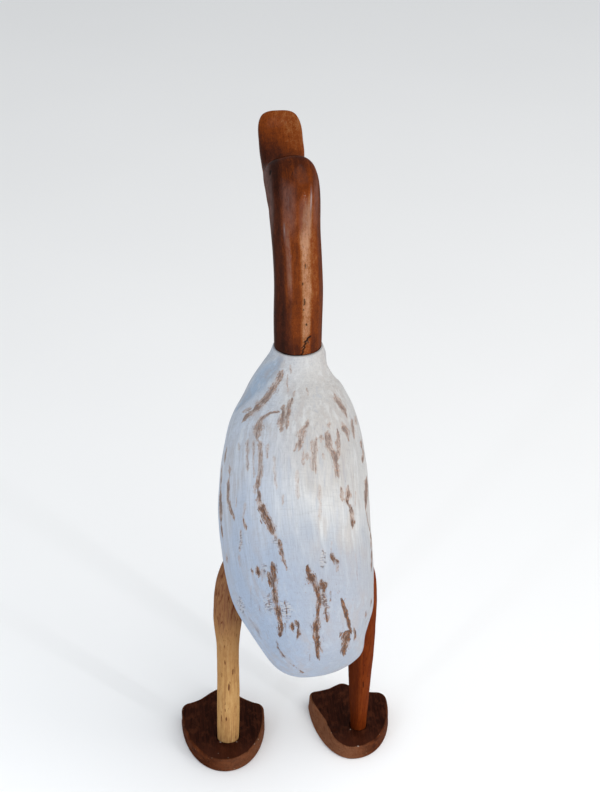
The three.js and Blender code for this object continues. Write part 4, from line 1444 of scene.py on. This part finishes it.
def chalk_paint():
    """Off-white paint brushed over brown wood and sanded through in streaks."""
    material, w, shader = new_finish("worn chalk paint")
    lay = w.own("lay", "Vector")
    trace = w.own("trace", "Vector")
    worn = w.own("worn")
    rungs = w.own("rungs")
    force = w.parts(trace)["Y"]
    pattern = chalk_patterns(w, lay, trace)
    hair, grit, dots, ladder = (pattern[name] for name in ("hair", "grit", "dots", "ladder"))
    climb = w.plus(w.parts(lay)["Z"], w.swing(pattern["patch"], 0.10))
    climb = w.level(climb, 0.0, 0.30, smooth=False)
    high = w.level(climb, 0.34, 0.52)
    paint = brushed_paint(w, lay, climb, pattern)

    # Paint rubbed thin over a streak, then bare wood in scratches and dots that run along it
    mixed = w.plus(w.times(pattern["fibre"], 0.55), w.times(dots, 0.45))
    mixed = w.minus(mixed, 0.5)
    thin = w.level(w.plus(worn, w.times(mixed, 1.4)), 0.36, 0.72)
    thin = w.times(thin, w.level(force, 0.0, 0.75, 0.15, 0.90, smooth=False))
    push = w.plus(worn, w.times(force, 0.35))
    push = w.plus(push, w.times(high, 0.12))
    ragged = w.times(mixed, w.level(high, 0.0, 1.0, 4.4, 4.6, smooth=False))
    bare = w.level(w.plus(push, ragged), 1.00, 1.30)
    bare = w.times(bare, w.level(force, 0.2, 1.0, 0.40, 0.92, smooth=False))
    deep = w.plus(worn, w.times(force, 0.50))
    core = w.level(w.plus(deep, w.swing(pattern["vein"], 2.0)), 1.14, 1.42, 0.0, 0.92)
    core = w.times(core, w.level(high, 0.0, 1.0, 1.0, 0.75, smooth=False))
    speckle = w.times(w.level(grit, 0.48, 0.58), w.times(w.math("MAXIMUM", bare, thin), high))

    # Where a streak has cross scratches, they take the place of most of its wear
    bars = w.level(rungs, 0.2, 0.9, 1.0, 0.35)
    thin, bare = w.times(thin, bars), w.times(bare, bars)
    rungs = w.times(rungs, w.level(worn, 0.15, 0.55))
    teeth = w.times(w.level(ladder, 0.54, 0.62), rungs)
    gaps = w.times(w.level(ladder, 0.46, 0.40), rungs)
    stray = w.times(w.level(grit, 0.55, 0.68), w.level(hair, 0.55, 0.66))

    wood = w.blend(w.level(force, 0.6, 1.0), WOOD_LIGHT, WOOD_HARD)
    wood = w.blend(high, wood, WOOD_HIGH)
    heart = w.blend(w.level(dots, 0.46, 0.60), HEART_DARK, HEART_RED)
    heart = w.blend(w.times(high, 0.7), heart, HEART_HIGH)
    rubbed = w.blend(w.level(climb, 0.15, 0.35), THIN_LOW, THIN_HIGH)
    rubbed = w.blend(w.level(force, 0.6, 1.0), rubbed, THIN_HARD)
    colour = paint
    for share, over in (
        (thin, rubbed),
        (w.times(stray, 0.40), STRAY_SCRATCH),
        (bare, wood),
        (core, heart),
        (w.times(speckle, 0.50), SPECKLE),
        (w.times(gaps, 0.6), PAINT_BETWEEN_TEETH),
        (w.times(teeth, 0.75), TEETH),
        (w.times(w.level(dots, 0.64, 0.70), bare), ORANGE_DOTS),
    ):
        colour = w.blend(share, colour, over)
    w.link(colour, shader.inputs["Base Color"])
    w.link(w.level(hair, 0.2, 0.8, 0.55, 0.75), shader.inputs["Roughness"])
    shader.inputs["Specular IOR Level"].default_value = 0.22
    height = w.plus(w.times(hair, 0.45), w.times(pattern["stroke"], 0.40))
    height = w.plus(height, w.times(pattern["cross"], 0.20))
    height = w.minus(height, w.plus(w.times(bare, 0.7), w.times(teeth, 0.3)))
    bumped(w, shader, height, 0.0003)
    return material


VARNISH_TONES = [
    (0.0, (0.022, 0.005, 0.002)), (0.25, (0.056, 0.012, 0.004)), (0.48, (0.120, 0.025, 0.004)),
    (0.62, (0.170, 0.037, 0.006)), (0.75, (0.22, 0.075, 0.022)), (1.0, (0.36, 0.175, 0.09)),
]
PAINTED_SHEEN_HAZE = (0.145, 0.078, 0.066)
PAINTED_HIGHLIGHT = (0.34, 0.26, 0.24)
VARNISH_PORE = (0.012, 0.005, 0.004)
CRACK_DARK = (0.006, 0.003, 0.002)


def varnished_wood():
    """Red-brown wood under glossy varnish, with long grain, darker figure, painted highlight and shade in its
    tone, and painted grey sheen and highlights.
    """
    material, w, shader = new_finish("varnished red wood")
    lay = w.own("lay", "Vector")
    painted_sheen = w.own("painted_sheen")
    grain = w.noise(lay, (0.0010, 0.0010, 0.018), detail=4, rough=0.65, shift=3.1, warp=0.5)
    figure = w.noise(lay, (0.005, 0.005, 0.035), detail=3, shift=6.4, warp=0.8)
    cloud = w.noise(lay, (0.0035, 0.0035, 0.005), detail=4, rough=0.65, shift=1.4)
    speck = w.noise(lay, (0.0007, 0.0007, 0.0011), detail=2, rough=0.6, shift=4.6)
    pore = w.noise(lay, (0.0006, 0.0006, 0.0025), detail=2, shift=8.8)
    # Tone of the wood, with painted highlight and shade in it
    depth = w.own("tone_and_shade")
    for pattern, amount in ((figure, 0.35), (grain, 0.30), (cloud, 0.50), (speck, 0.45)):
        depth = w.plus(depth, w.swing(pattern, amount))
    colour = w.ramp(depth, VARNISH_TONES)
    # Painted grey sheen, and painted highlights where it passes 1
    hazed = w.times(w.math("MINIMUM", painted_sheen, 1.0), w.level(cloud, 0.25, 0.65, 0.45, 0.95))
    colour = w.blend(hazed, colour, PAINTED_SHEEN_HAZE)
    colour = w.layer(colour, painted_sheen, 1.0, 1.7, 0.8, PAINTED_HIGHLIGHT)
    colour = w.layer(colour, pore, 0.62, 0.74, 0.7, VARNISH_PORE)
    colour = w.blend(w.own("crack"), colour, CRACK_DARK)
    w.link(colour, shader.inputs["Base Color"])
    w.link(w.level(figure, 0.3, 0.7, 0.22, 0.36), shader.inputs["Roughness"])
    glossy_coat(shader, 0.11, 0.10)
    bumped(w, shader, w.plus(w.times(grain, 0.4), w.times(figure, 0.6)), 0.00022)
    return material


# Each leg's wood from dark to light grain; the dark of its flecks and how much of it they have; its
# roughness from and to; the stain at the left one's knee, with its colour and the heights at which it
# begins, grows and is full; and the right one's painted shade down its side toward the goose's left,
# with where that begins and is full and how dark it is
LEG_WOODS = {
    "left_leg": dict(
        name="pale wood",
        tones=[(0.0, (0.26, 0.125, 0.05)), (0.5, (0.41, 0.22, 0.08)), (1.0, (0.52, 0.32, 0.13))],
        fleck=(0.105, 0.028, 0.012), fleck_share=0.85, roughness=(0.36, 0.52),
        stain=((0.15, 0.052, 0.030), 0.070, 0.106, 0.142)),
    "right_leg": dict(
        name="red stained wood",
        tones=[(0.0, (0.062, 0.010, 0.003)), (0.5, (0.125, 0.021, 0.003)), (1.0, (0.17, 0.036, 0.007))],
        fleck=(0.02, 0.003, 0.001), fleck_share=0.6, roughness=(0.34, 0.5),
        shade=(-0.001, 0.004, 0.5)),
}


def leg_wood(name, tones, fleck, fleck_share, roughness, stain=None, shade=None):
    """Rounded stick with straight grain and flecks, and a stain at the knee or painted shade down one side.
    """
    material, w, shader = new_finish(name)
    lay = w.own("lay", "Vector")
    grain = w.noise(lay, (0.0009, 0.0009, 0.022), detail=4, rough=0.65, shift=2.2, warp=0.4)
    figure = w.noise(lay, (0.0035, 0.0035, 0.030), detail=3, shift=5.5, warp=0.8)
    flecks = w.noise(lay, (0.0011, 0.0011, 0.0075), detail=2, rough=0.5, shift=1.9, warp=0.3)
    mottle = w.noise(lay, (0.0022, 0.0022, 0.004), detail=3, rough=0.6, shift=3.7)
    depth = w.plus(w.times(grain, 0.45), w.times(figure, 0.35))
    depth = w.plus(depth, w.times(mottle, 0.20))
    colour = w.ramp(w.level(depth, 0.34, 0.66, smooth=False), tones)
    flecked = w.level(flecks, 0.66, 0.72, 0.0, fleck_share)
    if stain:
        soaked_wood, begins, grows, full = stain
        wavy = w.plus(w.parts(lay)["Z"], w.swing(figure, 0.06))
        soaked = w.plus(w.level(wavy, begins, grows, 0.0, 0.28), w.level(wavy, grows, full, 0.0, 0.55))
        colour = w.blend(w.times(soaked, w.level(grain, 0.3, 0.7, 0.6, 1.15)), colour, soaked_wood)
        often = w.times(w.level(flecks, 0.54, 0.62, 0.0, fleck_share), w.level(wavy, grows, full))
        flecked = w.math("MAXIMUM", flecked, often)
    # Painted shade down the side toward the goose's left, in the colour of the flecks
    if shade:
        across = w.plus(w.parts(lay)["X"], w.swing(figure, 0.004))
        colour = w.layer(colour, across, *shade, fleck)
    colour = w.blend(flecked, colour, fleck)
    colour = w.layer(colour, w.plus(w.own("worn"), w.swing(grain, 0.6)), 0.25, 0.6, 0.9, fleck)
    w.link(colour, shader.inputs["Base Color"])
    w.link(w.level(grain, 0.3, 0.7, *roughness), shader.inputs["Roughness"])
    glossy_coat(shader, 0.06, 0.35)
    bumped(w, shader, w.plus(w.times(grain, 0.6), w.times(flecks, -0.4)), 0.0003)
    return material


PLATE_DARK, PLATE_GRAIN = (0.012, 0.0028, 0.0014), (0.034, 0.0085, 0.0040)
PLATE_CLOUD = (0.056, 0.0155, 0.0068)
PLATE_HEEL = (0.050, 0.0135, 0.0065)
EDGE_DARK, EDGE_BROWN = (0.030, 0.0070, 0.0028), (0.085, 0.021, 0.0065)
EDGE_CLOUD = (0.115, 0.032, 0.0105)
EDGE_WORN_AND_LIT = (0.185, 0.074, 0.036)
EDGE_CHIPPED = (0.40, 0.28, 0.19)
PALE_SPECK = (0.45, 0.36, 0.30)


def dark_plate():
    """Near-black stain on the top, worn back to brown on the rim and the sides, and paler on the sides that
    face one way, partly from wear and partly painted light.
    """
    material, w, shader = new_finish("dark stained wood")
    lay = w.own("lay", "Vector")
    rim = w.own("rim")
    grain = w.noise(lay, (0.0012, 0.0012, 0.02), detail=4, rough=0.6, shift=4.4, warp=0.3)
    patch = w.noise(lay, (0.007, 0.004, 0.012), detail=3, shift=6.1)
    chip = w.noise(lay, (0.0016, 0.0016, 0.0016), detail=2, shift=3.3)
    cloud = w.noise(lay, (0.005, 0.005, 0.009), detail=4, rough=0.65, shift=9.4)
    top = w.blend(w.level(grain, 0.3, 0.7), PLATE_DARK, PLATE_GRAIN)
    top = w.layer(top, cloud, 0.48, 0.68, 0.8, PLATE_CLOUD)
    top = w.layer(top, w.parts(lay)["Z"], -0.002, -0.024, 0.65, PLATE_HEEL)
    edge = w.blend(w.level(patch, 0.25, 0.75), EDGE_DARK, EDGE_BROWN)
    edge = w.layer(edge, cloud, 0.45, 0.65, 0.6, EDGE_CLOUD)
    # Paler sides facing one way: partly wear, partly painted light
    edge = w.blend(w.times(w.own("wear_and_light"), w.level(grain, 0.25, 0.65, 0.35, 0.95)), edge, EDGE_WORN_AND_LIT)
    colour = w.blend(w.level(w.plus(rim, w.swing(patch, 0.5)), 0.25, 0.85), top, edge)
    worn = w.times(w.level(chip, 0.70, 0.76), w.level(rim, 0.4, 0.7))
    colour = w.blend(w.times(worn, 0.8), colour, EDGE_CHIPPED)
    # Pale specks on the top
    colour = w.blend(w.times(w.own("speck"), 0.8), colour, PALE_SPECK)
    w.link(colour, shader.inputs["Base Color"])
    w.link(w.level(patch, 0.3, 0.7, 0.30, 0.46), shader.inputs["Roughness"])
    glossy_coat(shader, 0.06, 0.30)
    bumped(w, shader, w.plus(w.times(grain, 0.5), w.times(patch, 0.5)), 0.0003)
    return material


# Putting it together

BODY_SETTINGS = {
    "Sides": BODY_SIDES, "Crowding": BODY_CROWDING, "End skew": TAIL_SKEW, "Skew reach": TAIL_SKEW_REACH,
    "Lump size": 0.034, "Lump depth": 0.0022, "Flat width": 0.016, "Flat depth": 0.0012, "Seed": 0.31,
    "Wear depth": 0.00012,
}
LEG_SETTINGS = {
    "Sides": LEG_SIDES, "Lump size": 0.02, "Lump depth": 0.0008, "Flat width": 0.007, "Flat depth": 0.0007,
}
SCRIBE_SIDES = 160
STREAK_UNSTEADY = 1.0
FLECK_UNSTEADY = 0.5
FLECK_SEED = 8

tree = swept_wood_tree()
body_marks = streaks_on_body(SEEN_STREAKS) + UNSEEN_STREAKS
streaks = surface_marks("worn streaks", body_marks, on_body, STREAK_UNSTEADY, spread=WEAR_SPREAD)
hollows = surface_marks("hollows", HOLLOWS, on_body)
body_settings = {**BODY_SETTINGS, "Worn marks": streaks, "Hollows": hollows, "Finish": chalk_paint()}
body = swept_wood("painted_body", tree, *body_rail(), body_settings)
scribe = swept_wood("scribe", tree, *body_rail(GAP), {**body_settings, "Sides": SCRIBE_SIDES})


def scribed_leg(name, leg):
    """Leg stick cut off where it meets the body's side."""
    flecks = surface_marks("flecks", leg["flecks"], partial(on_leg, leg), FLECK_UNSTEADY, FLECK_SEED)
    finish = leg_wood(**LEG_WOODS[name])
    settings = {**LEG_SETTINGS, "Worn marks": flecks, "Seed": leg["seed"], "Finish": finish}
    stick = swept_wood(name + "_stick", tree, *leg_rail(leg), settings)
    cut = stick.modifiers.new("scribed to the body", "BOOLEAN")
    cut.operation = "DIFFERENCE"
    cut.solver = "MANIFOLD"
    cut.object = scribe
    mesh = plain_mesh(stick)
    for spare in (stick, flecks):
        bpy.data.objects.remove(spare)
    return new_piece(name + "_wood", mesh)


legs = {name: scribed_leg(name, leg) for name, leg in LEGS.items()}
for spare in (scribe, streaks, hollows):
    bpy.data.objects.remove(spare)

head = new_piece("neck_and_head_wood", grid_mesh("neck_and_head_wood", *neck_and_head()))
head.data.materials.append(varnished_wood())

plate = dark_plate()
feet = {name: webbed_foot(name + "_wood", foot) for name, foot in FEET.items()}
for piece in feet.values():
    piece.data.materials.append(plate)

# Studio

FLOOR_REACH = 8.0
# The floor lies this far under the soles, so that neither shows through the other
FLOOR_DROP = 0.0002
FLOOR_TONES = (0.90, 0.90, 0.90), (0.93, 0.93, 0.93)
SKY_COLOUR = (0.94, 0.97, 1.0, 1)
SKY_STRENGTH = 0.60
# Soft lights: place, what they are aimed at, width and height, power and colour
LIGHTS = {
    "key": ((-1.1, 1.1, 2.4), (0, 0, 0.25), (3.0, 3.0), 56, (1.0, 0.98, 0.95)),
    "strip_right": ((-0.52, 0.62, 0.24), (0, -0.04, 0.34), (0.022, 0.60), 2.4, (0.95, 0.96, 1.0)),
    "strip_left": ((0.52, 0.70, 0.24), (0, -0.04, 0.32), (0.022, 0.60), 1.8, (0.80, 0.88, 1.0)),
    "fill_left": ((1.1, 0.35, 0.60), (0, 0, 0.25), (0.8, 0.8), 2.0, (0.72, 0.86, 1.0)),
}


def pale_floor():
    material, w, shader = new_finish("pale floor")
    place = w.node("ShaderNodeTexCoord").outputs["Object"]
    cloud = w.noise(place, (0.4, 0.4, 0.4), detail=2)
    w.link(w.blend(cloud, *FLOOR_TONES), shader.inputs["Base Color"])
    shader.inputs["Roughness"].default_value = 0.9
    shader.inputs["Specular IOR Level"].default_value = 0.1
    return material


def soft_light(name, place, aim, size, power, colour):
    data = bpy.data.lights.new(name, "AREA")
    data.shape = "RECTANGLE"
    data.size, data.size_y = size
    data.energy = power
    data.color = colour
    lamp = bpy.data.objects.new(name, data)
    lamp.location = place
    lamp.rotation_euler = (Vector(aim) - Vector(place)).to_track_quat("-Z", "Y").to_euler()
    lamp.visible_camera = False
    bpy.context.scene.collection.objects.link(lamp)


floor_mesh = bpy.data.meshes.new("floor")
corners = [(-FLOOR_REACH, -FLOOR_REACH, 0), (FLOOR_REACH, -FLOOR_REACH, 0),
           (FLOOR_REACH, FLOOR_REACH, 0), (-FLOOR_REACH, FLOOR_REACH, 0)]
floor_mesh.from_pydata(corners, [], [(0, 1, 2, 3)])
floor = new_piece("floor", floor_mesh)
floor.data.materials.append(pale_floor())
floor.location.z = -FLOOR_DROP

for name, light in LIGHTS.items():
    soft_light(name, *light)

world = bpy.data.worlds.new("studio")
world.use_nodes = True
sky = world.node_tree.nodes["Background"].inputs
sky["Color"].default_value = SKY_COLOUR
sky["Strength"].default_value = SKY_STRENGTH
bpy.context.scene.world = world
bpy.context.scene.view_settings.view_transform = "Standard"

# Riding on the frame

for piece, node, slot in (
    (body, "body", "painted_wood"),
    (head, "neck_and_head", "varnished_wood"),
    (legs["left_leg"], "left_leg", "pale_wood"),
    (legs["right_leg"], "right_leg", "stained_wood"),
    (feet["left_foot"], "left_foot", "dark_wood"),
    (feet["right_foot"], "right_foot", "dark_wood"),
):
    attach(piece, "root")
    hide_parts(node)
